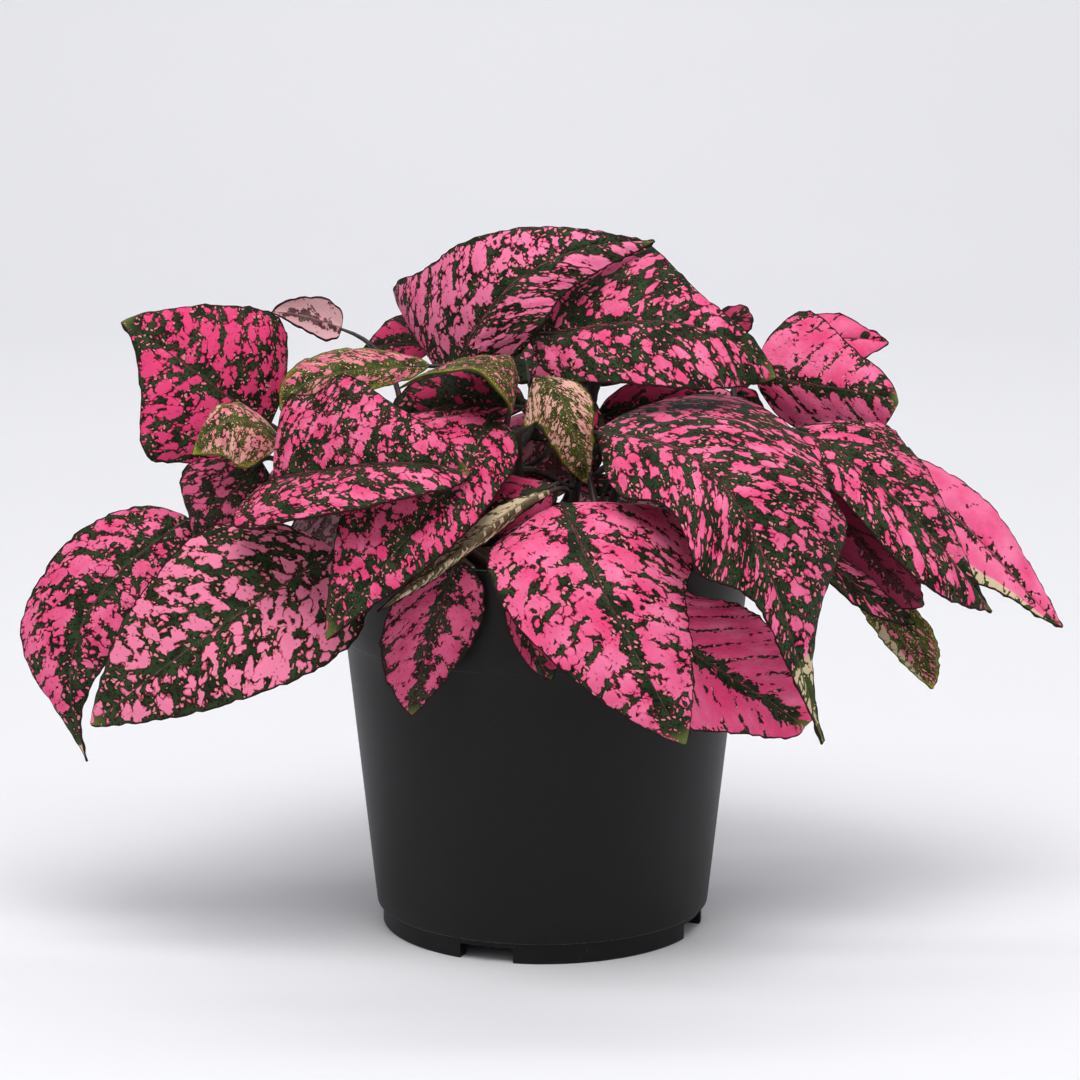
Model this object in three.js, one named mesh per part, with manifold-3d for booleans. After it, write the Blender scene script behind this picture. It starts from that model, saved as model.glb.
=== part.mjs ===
// Potted polka dot plant: a bushy young plant in a round nursery pot.
// Millimetres, +Z up, the origin at the centre of the pot's foot, the front along -Y.

import * as THREE from "three";
import { mergeVertices } from "three/addons/utils/BufferGeometryUtils.js";
import Module from "manifold-3d";

const wasm = await Module();
wasm.setup();

// Driving dimensions of the pot

const POT_HEIGHT = 103.5;
const RIM_RADIUS = 55;
const BODY_BOTTOM_RADIUS = 44;
const FOOT_RADIUS = 42.5;
const FOOT_HEIGHT = 5.5;
const FOOT_WALL = 4;
const RECESS_HEIGHT = 4;
const FLOOR_TOP = 6;
const WALL = 1.5;
const RIM_WALL = 2.2;
const RIM_DEPTH = 5;
const EDGE = 0.7;
const BAND_HEIGHT = 77;
const BAND_STEP = 0.4;
const POT_SIDES = 36;
const NOTCH_ANGLES = [-110, -20, 70, 160];
const NOTCH_WIDTH = 14.4;
const DRAIN_RADIUS = 4;
const DRAIN_CIRCLE = 31;
const DRAIN_SIDES = 12;

// Driving dimensions of the soil and the plant

const SOIL_TOP = 91;
const SHELL_TOP = 94;
const SOIL_RISE = 2;
const SOIL_ROUGHNESS = 1.2;
const SOIL_RINGS = 4;
const SOIL_SIDES = 24;
const SOIL_BORDER = 5;
const HOLE_SIDES = 8;
const GAP = 0.3;
const STEM_FOOT = 79;
const STEM_COLLAR = 97;
const BLADE_THICKNESS = 0.7;
const LEAST_WIDTH = 0.03;
const WAVES = 2.5;
const WAVE_SHIFT = 0.4;
const ARCH_SHARE = 0.08;
const WAVE_SHARE = 0.03;
const STEADY = 0.1;
const PROBE = 0.02;
const STEM_SIDES = 6;
const STEM_STEPS = 10;
const STALK_RADIUS = 0.95;
const STALK_SIDES = 4;
const STALK_STEPS = 4;
const STALK_REACH = 0.4;
const STALK_SINK = 0.2;
const STALK_END = 0.1;
const BLADE_ROWS = 8;
const BLADE_COLUMNS = 4;
const ROW_CROWDING = 12;
const PLAIN_TRIM = [1, 1, 1, 1, 1];

// Colours, as seen in soft daylight

const POT_COLOUR = 0x232325;
const SOIL_COLOUR = 0x3a2a20;
const STEM_COLOUR = 0x3d2c26;
const PINK = 0xe8568c;
const DARK_PINK = 0x9c2f55;
const YOUNG = 0xa89a52;

const potMaterial = new THREE.MeshStandardMaterial({ color: POT_COLOUR, roughness: 0.45, metalness: 0 });
const soilMaterial = new THREE.MeshStandardMaterial({ color: SOIL_COLOUR, roughness: 1, metalness: 0 });
const stemMaterial = new THREE.MeshStandardMaterial({ color: STEM_COLOUR, roughness: 0.6, metalness: 0 });

const leafMaterials = {
  spotted: new THREE.MeshStandardMaterial({ color: PINK, roughness: 0.5, metalness: 0 }),
  shaded: new THREE.MeshStandardMaterial({ color: DARK_PINK, roughness: 0.6, metalness: 0 }),
  young: new THREE.MeshStandardMaterial({ color: YOUNG, roughness: 0.5, metalness: 0 }),
};

const plant = new THREE.Group();

function vec(p) {
  return new THREE.Vector3(p[0], p[1], p[2]);
}

function solidOf(geometry) {
  const bare = geometry.clone();
  bare.deleteAttribute("normal");
  bare.deleteAttribute("uv");
  const merged = mergeVertices(bare, 1e-4);
  return new wasm.Manifold(
    new wasm.Mesh({
      numProp: 3,
      vertProperties: new Float32Array(merged.attributes.position.array),
      triVerts: new Uint32Array(merged.index.array),
    }),
  );
}

function geometryOf(solid) {
  const mesh = solid.getMesh();
  const geometry = new THREE.BufferGeometry();
  geometry.setAttribute("position", new THREE.BufferAttribute(new Float32Array(mesh.vertProperties), 3));
  geometry.setIndex(new THREE.BufferAttribute(new Uint32Array(mesh.triVerts), 1));
  geometry.computeVertexNormals();
  return geometry;
}

function addPiece(name, geometry, material) {
  const mesh = new THREE.Mesh(geometry, material);
  mesh.name = name;
  plant.add(mesh);
}

// A tube along a curve, with flat ends

function tube(curve, radius, sides, steps) {
  const section = new THREE.Shape();
  for (let i = 0; i < sides; i += 1) {
    const angle = (2 * Math.PI * i) / sides;
    const x = radius * Math.cos(angle);
    const y = radius * Math.sin(angle);
    if (i === 0) {
      section.moveTo(x, y);
    } else {
      section.lineTo(x, y);
    }
  }
  section.closePath();
  return new THREE.ExtrudeGeometry(section, { steps, extrudePath: curve, bevelEnabled: false });
}

function uprightCylinder(radius, bottom, top, x, y, sides) {
  const geometry = new THREE.CylinderGeometry(radius, radius, top - bottom, sides);
  geometry.rotateX(Math.PI / 2);
  geometry.translate(x, y, (top + bottom) / 2);
  return geometry;
}

// The pot

function outerRadius(z) {
  const slope = (RIM_RADIUS - BAND_STEP - BODY_BOTTOM_RADIUS) / (POT_HEIGHT - FOOT_HEIGHT);
  return BODY_BOTTOM_RADIUS + slope * (z - FOOT_HEIGHT);
}

function innerRadius(z) {
  return outerRadius(z) - WALL;
}

function potGeometry() {
  const footInside = FOOT_RADIUS - FOOT_WALL;
  const profile = [
    [0, RECESS_HEIGHT],
    [footInside, RECESS_HEIGHT],
    [footInside, 0],
    [FOOT_RADIUS, 0],
    [FOOT_RADIUS, FOOT_HEIGHT],
    [BODY_BOTTOM_RADIUS, FOOT_HEIGHT + EDGE],
    [outerRadius(BAND_HEIGHT), BAND_HEIGHT],
    [outerRadius(BAND_HEIGHT) + BAND_STEP, BAND_HEIGHT + EDGE],
    [RIM_RADIUS, POT_HEIGHT - EDGE],
    [RIM_RADIUS - EDGE, POT_HEIGHT],
    [RIM_RADIUS - RIM_WALL + EDGE / 2, POT_HEIGHT],
    [RIM_RADIUS - RIM_WALL, POT_HEIGHT - EDGE],
    [RIM_RADIUS - RIM_WALL, POT_HEIGHT - RIM_DEPTH],
    [innerRadius(SHELL_TOP), SHELL_TOP],
    [innerRadius(FLOOR_TOP), FLOOR_TOP],
    [0, FLOOR_TOP],
  ];
  const points = profile.map(([r, z]) => new THREE.Vector2(r, z));
  const geometry = new THREE.LatheGeometry(points, POT_SIDES);
  geometry.rotateX(Math.PI / 2);
  let solid = solidOf(geometry);
  for (const degrees of NOTCH_ANGLES) {
    const angle = THREE.MathUtils.degToRad(degrees);
    const notch = new THREE.BoxGeometry(NOTCH_WIDTH, 2.5 * FOOT_WALL, 2 * RECESS_HEIGHT);
    notch.translate(0, -(FOOT_RADIUS - FOOT_WALL / 2), 0);
    notch.rotateZ(angle);
    solid = solid.subtract(solidOf(notch));
    const drain = uprightCylinder(DRAIN_RADIUS, 0, FLOOR_TOP + 2, 0, -DRAIN_CIRCLE, DRAIN_SIDES);
    drain.rotateZ(angle);
    solid = solid.subtract(solidOf(drain));
  }
  return geometryOf(solid);
}

// The stems. Each stands upright in the soil at its root, and then bends through
// its points to the shoot tip.

const stems = {
  left: { root: [-16, -5], points: [[-29, -9, 108], [-49, -17, 121], [-64, -23, 128]], radius: 1.7 },
  middle: { root: [-3, -9], points: [[-4, -15, 107], [-6, -22, 121], [-7, -26, 135]], radius: 1.7 },
  top: { root: [6, 6], points: [[8, 8, 111], [11, 8, 129], [14, 7, 145]], radius: 1.8 },
  right: { root: [20, 2], points: [[29, 3, 107], [45, 4, 119], [60, 4, 128]], radius: 1.7 },
  front: { root: [9, -20], points: [[11, -25, 101], [13, -33, 108], [15, -40, 114]], radius: 1.5 },
  back: { root: [-8, 20], points: [[-10, 26, 105], [-13, 30, 112], [-15, 33, 118]], radius: 1.6 },
  back_right: { root: [16, 22], points: [[18, 26, 105], [20, 29, 111], [22, 31, 117]], radius: 1.6 },
};

for (const stem of Object.values(stems)) {
  const foot = new THREE.Vector3(...stem.root, STEM_FOOT);
  const collar = new THREE.Vector3(...stem.root, STEM_COLLAR);
  stem.curve = new THREE.CurvePath();
  stem.curve.add(new THREE.LineCurve3(foot, collar));
  stem.curve.add(new THREE.CatmullRomCurve3([collar, ...stem.points.map(vec)]));
}

// The soil

function soilGeometry() {
  const bottom = FLOOR_TOP + GAP;
  const top = [];
  for (let i = 0; i <= SOIL_RINGS; i += 1) {
    const share = i / SOIL_RINGS;
    const rise = SOIL_RISE * (1 - share * share);
    top.push([share * (innerRadius(SOIL_TOP) - 2 * GAP), SOIL_TOP + rise]);
  }
  const profile = [[0, bottom], [innerRadius(bottom) - 2 * GAP, bottom], ...top.reverse()];
  const points = profile.map(([r, z]) => new THREE.Vector2(r, z));
  const geometry = new THREE.LatheGeometry(points, SOIL_SIDES);
  geometry.rotateX(Math.PI / 2);
  const place = geometry.attributes.position;
  for (let i = 0; i < place.count; i += 1) {
    const x = place.getX(i);
    const y = place.getY(i);
    const z = place.getZ(i);
    const inside = Math.hypot(x, y) < innerRadius(SOIL_TOP) - SOIL_BORDER;
    if (z > SOIL_TOP - 1 && inside) {
      place.setZ(i, z + SOIL_ROUGHNESS * Math.sin(0.37 * x + 1) * Math.cos(0.41 * y));
    }
  }
  let solid = solidOf(geometry);
  for (const stem of Object.values(stems)) {
    const [x, y] = stem.root;
    const hole = uprightCylinder(stem.radius + 1.5 * GAP, STEM_FOOT - GAP, STEM_COLLAR, x, y, HOLE_SIDES);
    solid = solid.subtract(solidOf(hole));
  }
  return geometryOf(solid);
}

// A leaf blade. The midrib is a smooth curve through four points, heel to tip. The
// blade spreads from it to a left and a right edge, whose places are given where the
// blade is widest. Left and right are as seen on the upper face with the tip up.

function ribPoint(rib, t) {
  const a = t * 3;
  const weights = [
    ((1 - a) * (2 - a) * (3 - a)) / 6,
    (a * (2 - a) * (3 - a)) / 2,
    (a * (a - 1) * (3 - a)) / 2,
    (a * (a - 1) * (a - 2)) / 6,
  ];
  const point = new THREE.Vector3();
  rib.forEach((p, i) => point.addScaledVector(vec(p), weights[i]));
  return point;
}

function ribDirection(rib, t) {
  return ribPoint(rib, t + PROBE / 2).sub(ribPoint(rib, t - PROBE / 2)).normalize();
}

// How wide the blade is at t, from 0 at its ends to 1 at the belly

function fullness(t, belly, point) {
  const rise = (point * belly) / (1 - belly);
  const share = Math.pow(t / belly, rise) * Math.pow((1 - t) / (1 - belly), point);
  return LEAST_WIDTH + (1 - LEAST_WIDTH) * share;
}

// What a half's width is multiplied by, through five places from heel to tip

function trimAt(trim, t) {
  const k = Math.min(Math.floor(4 * t), 3);
  const f = 4 * t - k;
  const before = trim[Math.max(k - 1, 0)];
  const from = trim[k];
  const to = trim[k + 1];
  const after = trim[Math.min(k + 2, 4)];
  const bend = 2 * before - 5 * from + 4 * to - after + f * (3 * (from - to) + after - before);
  return from + 0.5 * f * (to - before + f * bend);
}

function bladePoint(leaf, t, s) {
  const { rib, belly = 0.4, point = 0.9 } = leaf;
  const half = vec(leaf.left).distanceTo(vec(leaf.right)) / 2;
  const arch = leaf.arch ?? ARCH_SHARE * half;
  const wave = leaf.wave ?? WAVE_SHARE * half;
  const { leftTrim = PLAIN_TRIM, rightTrim = PLAIN_TRIM, leftLobe = 0, rightLobe = 0 } = leaf;
  const side = Math.abs(s);
  const middle = ribPoint(rib, belly);
  const along = ribDirection(rib, t);
  const turn = new THREE.Quaternion().setFromUnitVectors(ribDirection(rib, belly), along);
  const left = vec(leaf.left).sub(middle);
  const right = vec(leaf.right).sub(middle);
  const up = right.clone().sub(left).cross(ribDirection(rib, belly)).normalize();
  const across = (s < 0 ? left : right).applyQuaternion(turn);
  up.applyQuaternion(turn);
  const full = fullness(t, belly, point) * trimAt(s < 0 ? leftTrim : rightTrim, t);
  const lobe = s < 0 ? leftLobe : rightLobe;
  const turns = WAVES * t + (s < 0 ? 0 : WAVE_SHIFT);
  const ripple = wave * side * side * Math.sin(2 * Math.PI * turns);
  const back = t < belly ? lobe * side * full * (1 - t / belly) : 0;
  return ribPoint(rib, t)
    .addScaledVector(across, full * side)
    .addScaledVector(up, full * arch * Math.sin(Math.PI * side) + Math.sqrt(full) * ripple)
    .addScaledVector(along, -back);
}

// Near the heel and the tip, where the blade is narrow, it takes the midrib's normal

function bladeNormal(leaf, place, side) {
  const t = THREE.MathUtils.clamp(place, STEADY, 1 - STEADY);
  const s = place === t ? side : 0;
  const t0 = Math.max(t - PROBE, 0);
  const t1 = Math.min(t + PROBE, 1);
  const s0 = Math.max(s - PROBE, -1);
  const s1 = Math.min(s + PROBE, 1);
  const along = bladePoint(leaf, t1, s).sub(bladePoint(leaf, t0, s));
  const across = bladePoint(leaf, t, s1).sub(bladePoint(leaf, t, s0));
  return across.cross(along).normalize();
}

// Rows of the blade lie closer together near its heel and its tip

function rowPlace(share) {
  return share - Math.sin(2 * Math.PI * share) / ROW_CROWDING;
}

// The blade's solid: an upper and a lower face with the same triangles, and the edge

function bladeGeometry(leaf) {
  const rows = leaf.rows ?? BLADE_ROWS;
  const columns = BLADE_COLUMNS;
  const places = [];
  for (const face of [0.5, -0.5]) {
    for (let i = 0; i <= rows; i += 1) {
      const t = rowPlace(i / rows);
      for (let j = 0; j <= columns; j += 1) {
        const s = (2 * j) / columns - 1;
        const offset = face * BLADE_THICKNESS;
        const p = bladePoint(leaf, t, s).addScaledVector(bladeNormal(leaf, t, s), offset);
        places.push(p.x, p.y, p.z);
      }
    }
  }
  const width = columns + 1;
  const under = width * (rows + 1);
  const faces = [];
  for (let i = 0; i < rows; i += 1) {
    for (let j = 0; j < columns; j += 1) {
      const a = i * width + j;
      const b = a + 1;
      const c = a + width + 1;
      const d = a + width;
      faces.push(a, b, c, a, c, d);
      faces.push(under + a, under + c, under + b, under + a, under + d, under + c);
    }
  }
  const border = [];
  for (let j = 0; j < columns; j += 1) {
    border.push(j);
  }
  for (let i = 0; i < rows; i += 1) {
    border.push(i * width + columns);
  }
  for (let j = columns; j > 0; j -= 1) {
    border.push(rows * width + j);
  }
  for (let i = rows; i > 0; i -= 1) {
    border.push(i * width);
  }
  border.forEach((a, k) => {
    const b = border[(k + 1) % border.length];
    faces.push(a, under + a, under + b, a, under + b, b);
  });
  const geometry = new THREE.BufferGeometry();
  geometry.setAttribute("position", new THREE.BufferAttribute(new Float32Array(places), 3));
  geometry.setIndex(faces);
  return geometry;
}

// A stalk leaves its stem square to it, and runs into the blade under the midrib

function stalkGeometry(leaf) {
  const stem = stems[leaf.stem];
  const root = stem.curve.getPointAt(leaf.at);
  const axis = stem.curve.getTangentAt(leaf.at);
  const heel = vec(leaf.rib[0]);
  const out = heel.clone().sub(root);
  out.addScaledVector(axis, -out.dot(axis)).normalize();
  const foot = root.clone().addScaledVector(out, stem.radius + GAP);
  const reach = heel.distanceTo(foot) * STALK_REACH;
  const into = ribDirection(leaf.rib, 0);
  const down = bladeNormal(leaf, STALK_END, 0).negate();
  const end = bladePoint(leaf, STALK_END, 0).addScaledVector(down, STALK_SINK);
  const curve = new THREE.CurvePath();
  const start = heel.clone().addScaledVector(down, STALK_SINK);
  curve.add(
    new THREE.CubicBezierCurve3(
      foot,
      foot.clone().addScaledVector(out, reach),
      start.clone().addScaledVector(into, -reach),
      start,
    ),
  );
  curve.add(new THREE.LineCurve3(start, end));
  return tube(curve, STALK_RADIUS, STALK_SIDES, STALK_STEPS);
}

// The leaves that the front shows, one by one. A leaf's stem and the share of the
// way up it say where its stalk starts.

const leaves = {
  front_center: {
    rib: [[5, -46, 119], [11, -68, 108], [22, -78, 88], [34, -77, 66]],
    left: [33, -58, 104],
    right: [-12, -66, 102],
    leftTrim: [2.6, 1.6, 1, 1, 1],
    leftLobe: 14,
    stem: "front",
    at: 0.97,
  },
  front_small: {
    rib: [[-21, -55, 107], [-25, -57, 96], [-29, -57, 83], [-32, -55, 68]],
    left: [-15, -55, 91],
    right: [-39, -53, 90],
    stem: "front",
    at: 0.6,
    look: "shaded",
  },
  front_strip: {
    rib: [[-4, -57, 109], [-6, -59, 98], [-3, -58, 86], [2, -56, 77]],
    left: [3, -57, 93],
    right: [-9, -58, 92],
    stem: "front",
    at: 0.7,
    look: "shaded",
    rows: 6,
  },
  front_right: {
    rib: [[19, -54, 107], [30, -54, 89], [47, -46, 75], [66, -38, 61]],
    left: [50, -40, 92],
    right: [29, -54, 68],
    rightTrim: [0.8, 1, 1, 0.8, 0.8],
    leftTrim: [0.8, 1, 1, 1, 1],
    stem: "front",
    at: 0.85,
    point: 0.6,
  },
  right_front: {
    rib: [[14, -25, 134], [38, -50, 130], [53, -62, 109], [70, -46, 59]],
    left: [67, -40, 127],
    right: [35, -68, 114],
    leftTrim: [4, 1.6, 1.08, 1.8, 0.5],
    rightTrim: [3.4, 1.2, 1.12, 0.72, 1.5],
    leftLobe: 24,
    rows: 10,
    rightLobe: 8,
    stem: "front",
    at: 0.9,
    point: 1.8,
  },
  right: {
    rib: [[64, -4, 132], [79, -16, 125], [98, -20, 108], [116, -14, 86]],
    left: [99, 0, 124],
    right: [78, -30, 115],
    leftTrim: [1.8, 1.12, 0.85, 0.65, 0.1],
    rightTrim: [1, 1, 1.15, 1.6, 1.5],
    stem: "right",
    at: 0.97,
    point: 1.1,
  },
  far_right: {
    rib: [[89, 12, 120], [108, 6, 108], [123, 0, 93], [136, -6, 80]],
    left: [115, 14, 113],
    right: [101, -4, 96],
    rightTrim: [1, 1, 0.8, 0.5, 0.6],
    stem: "right",
    at: 0.75,
    point: 1.1,
  },
  right_upper: {
    rib: [[56, 14, 145], [69, 9, 142], [80, 5, 141], [93, 4, 138]],
    left: [74, 20, 158],
    right: [77, 12, 127],
    leftTrim: [1.2, 1.15, 0.95, 0.75, 0.9],
    rightTrim: [1, 1, 1.1, 1.2, 1.4],
    stem: "right",
    at: 0.9,
    point: 0.7,
  },
  right_behind: {
    rib: [[66, 30, 148], [75, 31, 151], [84, 30, 152], [93, 28, 151]],
    left: [79, 36, 158],
    right: [79, 26, 144],
    leftTrim: [1.3, 1.2, 0.9, 0.6, 0.6],
    stem: "back_right",
    at: 0.95,
    rows: 7,
  },
  top_front: {
    rib: [[-2, 4, 156], [15, -8, 159], [37, -14, 160], [60, -6, 146]],
    left: [24, 6, 175],
    right: [21, -24, 144],
    leftTrim: [2.6, 1.7, 1.1, 0.56, 0.5],
    rightTrim: [0.8, 0.85, 0.93, 1.12, 1.1],
    leftLobe: 10,
    stem: "top",
    at: 0.97,
    point: 0.8,
  },
  top: {
    rib: [[-24, 12, 141], [-14, -2, 162], [3, -4, 176], [29, 4, 180]],
    left: [-25, 12, 176],
    right: [1, -6, 164],
    leftTrim: [2.9, 1.37, 0.9, 0.6, 0.05],
    rightTrim: [1.8, 1.5, 1, 1, 1],
    stem: "top",
    at: 0.85,
  },
  top_behind: {
    rib: [[39, 24, 150], [44, 24, 153], [50, 23, 157], [55, 22, 160]],
    left: [47, 28, 159],
    right: [52, 20, 152],
    stem: "top",
    at: 0.6,
    rows: 5,
    look: "shaded",
  },
  top_left_behind: {
    rib: [[-27, 30, 150], [-35, 28, 151], [-42, 26, 151], [-49, 24, 149]],
    left: [-38, 22, 145],
    right: [-37, 34, 158],
    stem: "top",
    at: 0.7,
    point: 1.9,
    rows: 6,
    look: "shaded",
  },
  left_upper: {
    rib: [[-70, -10, 134], [-81, -16, 143], [-93, -16, 152], [-108, -8, 160]],
    left: [-98, -20, 129],
    right: [-73, -8, 162],
    leftTrim: [1, 1, 1.13, 0.62, 0.1],
    rightTrim: [1.25, 1.2, 1.05, 0.84, 0.6],
    stem: "left",
    at: 0.97,
    belly: 0.45,
    point: 0.6,
  },
  left_behind: {
    rib: [[-53, 14, 156], [-59, 14, 158], [-65, 12, 160], [-71, 8, 161]],
    left: [-57, 16, 164],
    right: [-58, 10, 154],
    stem: "left",
    at: 0.6,
    belly: 0.3,
    rows: 6,
    look: "shaded",
  },
  left_crest: {
    rib: [[-29, -8, 149], [-44, -14, 149], [-58, -20, 147], [-66, -22, 139]],
    left: [-50, -20, 143],
    right: [-52, -8, 153],
    stem: "top",
    at: 0.8,
    look: "young",
    rows: 7,
  },
  left_middle: {
    rib: [[-67, -36, 124], [-52, -50, 128], [-35, -59, 131], [-18, -54, 128]],
    left: [-52, -38, 148],
    right: [-53, -68, 120],
    leftTrim: [1.6, 1, 1.08, 0.92, 0.9],
    rightTrim: [1.6, 1.2, 1, 1, 1],
    rightLobe: 15,
    stem: "left",
    at: 0.99,
  },
  left_center: {
    rib: [[-13, -30, 139], [-22, -54, 126], [-36, -66, 110], [-52, -66, 89]],
    left: [-17, -60, 116],
    right: [-46, -37, 136],
    leftTrim: [1.8, 1.1, 1, 0.8, 0.7],
    leftLobe: 3,
    rightTrim: [1, 1, 1, 0.9, 0.9],
    stem: "middle",
    at: 0.95,
  },
  folded_edge: {
    rib: [[3, -43, 122], [-9, -53, 117], [-22, -60, 108], [-40, -61, 95]],
    left: [-16, -52, 116],
    right: [-13, -56, 112],
    arch: 0.6,
    wave: 0.4,
    stem: "middle",
    at: 0.6,
    look: "young",
    rows: 7,
  },
  left_low: {
    rib: [[-52, -34, 105], [-72, -46, 94], [-93, -46, 79], [-114, -36, 61]],
    left: [-62, -56, 76],
    right: [-90, -36, 106],
    leftTrim: [1.5, 1.12, 0.92, 0.8, 0.7],
    rightTrim: [1.3, 1.1, 1, 1, 1],
    stem: "left",
    at: 0.5,
  },
  far_left: {
    rib: [[-91, -14, 110], [-108, -22, 98], [-120, -24, 78], [-118, -18, 47]],
    left: [-97, -26, 88],
    right: [-123.2, -14, 102.6],
    rightTrim: [1.2, 1, 1.08, 1.36, 0.4],
    leftTrim: [1, 1, 1.05, 0.85, 0.3],
    rows: 10,
    stem: "left",
    at: 0.8,
    point: 1.1,
  },
  left_young: {
    rib: [[-66, -26, 132], [-73, -34, 138], [-80, -38, 138], [-87, -36, 130]],
    left: [-75, -42, 128],
    right: [-77, -26, 141],
    leftTrim: [0.9, 1.1, 1, 1, 1],
    rightTrim: [3, 1.6, 1, 1, 1],
    stem: "left",
    at: 0.95,
    look: "young",
    rows: 6,
  },
  left_dark: {
    rib: [[-71, -26, 127], [-77, -30, 121], [-83, -31, 114], [-88, -27, 107]],
    left: [-71, -28, 112],
    right: [-91, -21, 124],
    leftTrim: [1.3, 1.2, 1, 1, 1],
    stem: "left",
    at: 0.9,
    look: "shaded",
    rows: 6,
  },
  left_tiny: {
    rib: [[-78, -8, 115], [-83, -8, 116], [-88, -8, 117], [-93, -8, 116]],
    left: [-85, -8, 113],
    right: [-86, -4, 119],
    stem: "left",
    at: 0.7,
    look: "young",
    rows: 4,
  },
  crown_curl: {
    rib: [[-8, -28, 140], [-9, -30, 149], [-18, -28, 152], [-36, -23, 145]],
    left: [-14, -44, 150],
    right: [-10, -13, 152],
    stem: "middle",
    at: 0.99,
    look: "young",
    rows: 8,
  },
  crown_young: {
    rib: [[-2, -24, 148], [4, -36, 145], [8, -38, 134], [11, -32, 122]],
    left: [12, -34, 140],
    right: [0, -36, 137],
    leftTrim: [1.5, 1.3, 1, 1, 1],
    rightTrim: [3.4, 1.4, 1, 1, 1],
    stem: "middle",
    at: 0.98,
    look: "young",
    rows: 7,
  },
  crown_dark: {
    rib: [[9, -15, 120], [9, -17, 129], [6, -18, 138], [0, -20, 145]],
    left: [0, -19, 135],
    right: [16, -17, 136],
    stem: "middle",
    at: 0.8,
    look: "shaded",
    rows: 6,
  },
  under_center: {
    rib: [[3, -33, 122], [-4, -38, 120], [-13, -40, 116], [-20, -40, 108]],
    left: [-4, -40, 112],
    right: [-11, -28, 123],
    stem: "middle",
    at: 0.7,
    look: "shaded",
    rows: 6,
  },
  under_right: {
    rib: [[67, -8, 119], [79, -12, 107], [89, -12, 96], [99, -8, 86]],
    left: [78, -14, 95],
    right: [92, -6, 103],
    stem: "right",
    at: 0.8,
    look: "shaded",
    rows: 7,
  },
  low_right: {
    rib: [[66, -20, 104], [74, -23, 99], [84, -21, 91], [96, -16, 83]],
    left: [82, -18, 97],
    right: [77, -28, 92],
    stem: "right",
    at: 0.5,
    rows: 6,
  },
  low_right_tip: {
    rib: [[79, -4, 94], [88, -9, 85], [95, -10, 75], [102, -8, 64]],
    left: [102, -4, 79],
    right: [87, -4, 79],
    stem: "right",
    at: 0.85,
    rows: 6,
    look: "young",
  },
  behind_right_high: {
    rib: [[39, 18, 138], [43, 18, 138], [47, 18, 138], [51, 18, 137]],
    left: [46, 20, 140],
    right: [45, 17, 132],
    stem: "right",
    at: 0.85,
    look: "shaded",
    rows: 4,
  },
  behind_right_low: {
    rib: [[50, 24, 137], [53, 24, 137], [56, 23, 135], [60, 22, 132]],
    left: [56, 24, 139],
    right: [53, 22, 133],
    stem: "right",
    at: 0.97,
    look: "shaded",
    rows: 4,
  },
  behind_center: {
    rib: [[14, 12, 133], [22, 12, 135], [32, 10, 136], [43, 8, 135]],
    left: [31, 13, 144],
    right: [29, 8, 127],
    stem: "top",
    at: 0.7,
    look: "shaded",
    rows: 4,
  },
  crown_under: {
    rib: [[-4, -15, 139], [-15, -13, 140], [-27, -13, 139], [-40, -15, 135]],
    left: [-27, -21, 130],
    right: [-21, -10, 150],
    stem: "middle",
    at: 0.9,
    look: "shaded",
    rows: 6,
  },
};

// The leaves of the far side spread round the pot: each lies in an upright plane
// through the pot's axis, and its midrib is given by radius and height.

function spread(azimuth, ribline, halfWidth, droop, more) {
  const angle = THREE.MathUtils.degToRad(azimuth);
  const out = [Math.cos(angle), Math.sin(angle)];
  const rib = ribline.map(([r, z]) => [r * out[0], r * out[1], z]);
  const [x, y, z] = ribPoint(rib, 0.4).toArray();
  return {
    rib,
    left: [x - halfWidth * out[1], y + halfWidth * out[0], z - droop],
    right: [x + halfWidth * out[1], y - halfWidth * out[0], z - droop],
    ...more,
  };
}

const LOW = [[46, 107], [63, 110], [78, 97], [85, 71]];
const MIDDLE = [[38, 123], [56, 129], [72, 120], [81, 101]];
const HIGH = [[22, 141], [38, 151], [54, 151], [66, 137]];

leaves.back_low_right = spread(34, LOW, 19, 4, { stem: "back_right", at: 0.55, rows: 7 });
leaves.back_low_center_right = spread(69, LOW, 19, 4, { stem: "back_right", at: 0.65, rows: 7 });
leaves.back_low_center_left = spread(104, LOW, 20, 4, { stem: "back", at: 0.6, rows: 7 });
leaves.back_low_left = spread(142, LOW, 20, 4, { stem: "back", at: 0.7, rows: 7 });
leaves.back_middle_right = spread(50, MIDDLE, 18, 5, { stem: "back_right", at: 0.95, rows: 7 });
leaves.back_middle_center = spread(87, MIDDLE, 18, 5, { stem: "back", at: 0.9, rows: 7 });
leaves.back_middle_left = spread(124, MIDDLE, 18, 5, { stem: "back", at: 0.95, rows: 7 });
leaves.back_high_right = spread(56, HIGH, 13, 5, { stem: "top", at: 0.9, rows: 7 });
leaves.back_high_left = spread(99, HIGH, 11, 5, { stem: "top", at: 0.95, rows: 7 });
leaves.back_far_left = spread(165, MIDDLE, 17, 5, { stem: "left", at: 0.4, rows: 7 });

for (const [name, leaf] of Object.entries(leaves)) {
  const solid = solidOf(bladeGeometry(leaf)).add(solidOf(stalkGeometry(leaf)));
  addPiece(`leaf_${name}`, geometryOf(solid), leafMaterials[leaf.look ?? "spotted"]);
}

addPiece("pot", potGeometry(), potMaterial);
addPiece("soil", soilGeometry(), soilMaterial);

for (const [name, stem] of Object.entries(stems)) {
  addPiece(`stem_${name}`, tube(stem.curve, stem.radius, STEM_SIDES, STEM_STEPS), stemMaterial);
}

export default plant;
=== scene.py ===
"""A potted polka dot plant: fine leaves, stems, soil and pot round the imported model.

The plant's places are in millimetres, and its meshes are made in metres. A leaf's blade lies
on a grid: t runs along the midrib from heel to tip, and s across it from the left edge, -1, to
the right edge, 1, as seen on the upper face with the tip up.
"""

import math

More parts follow.
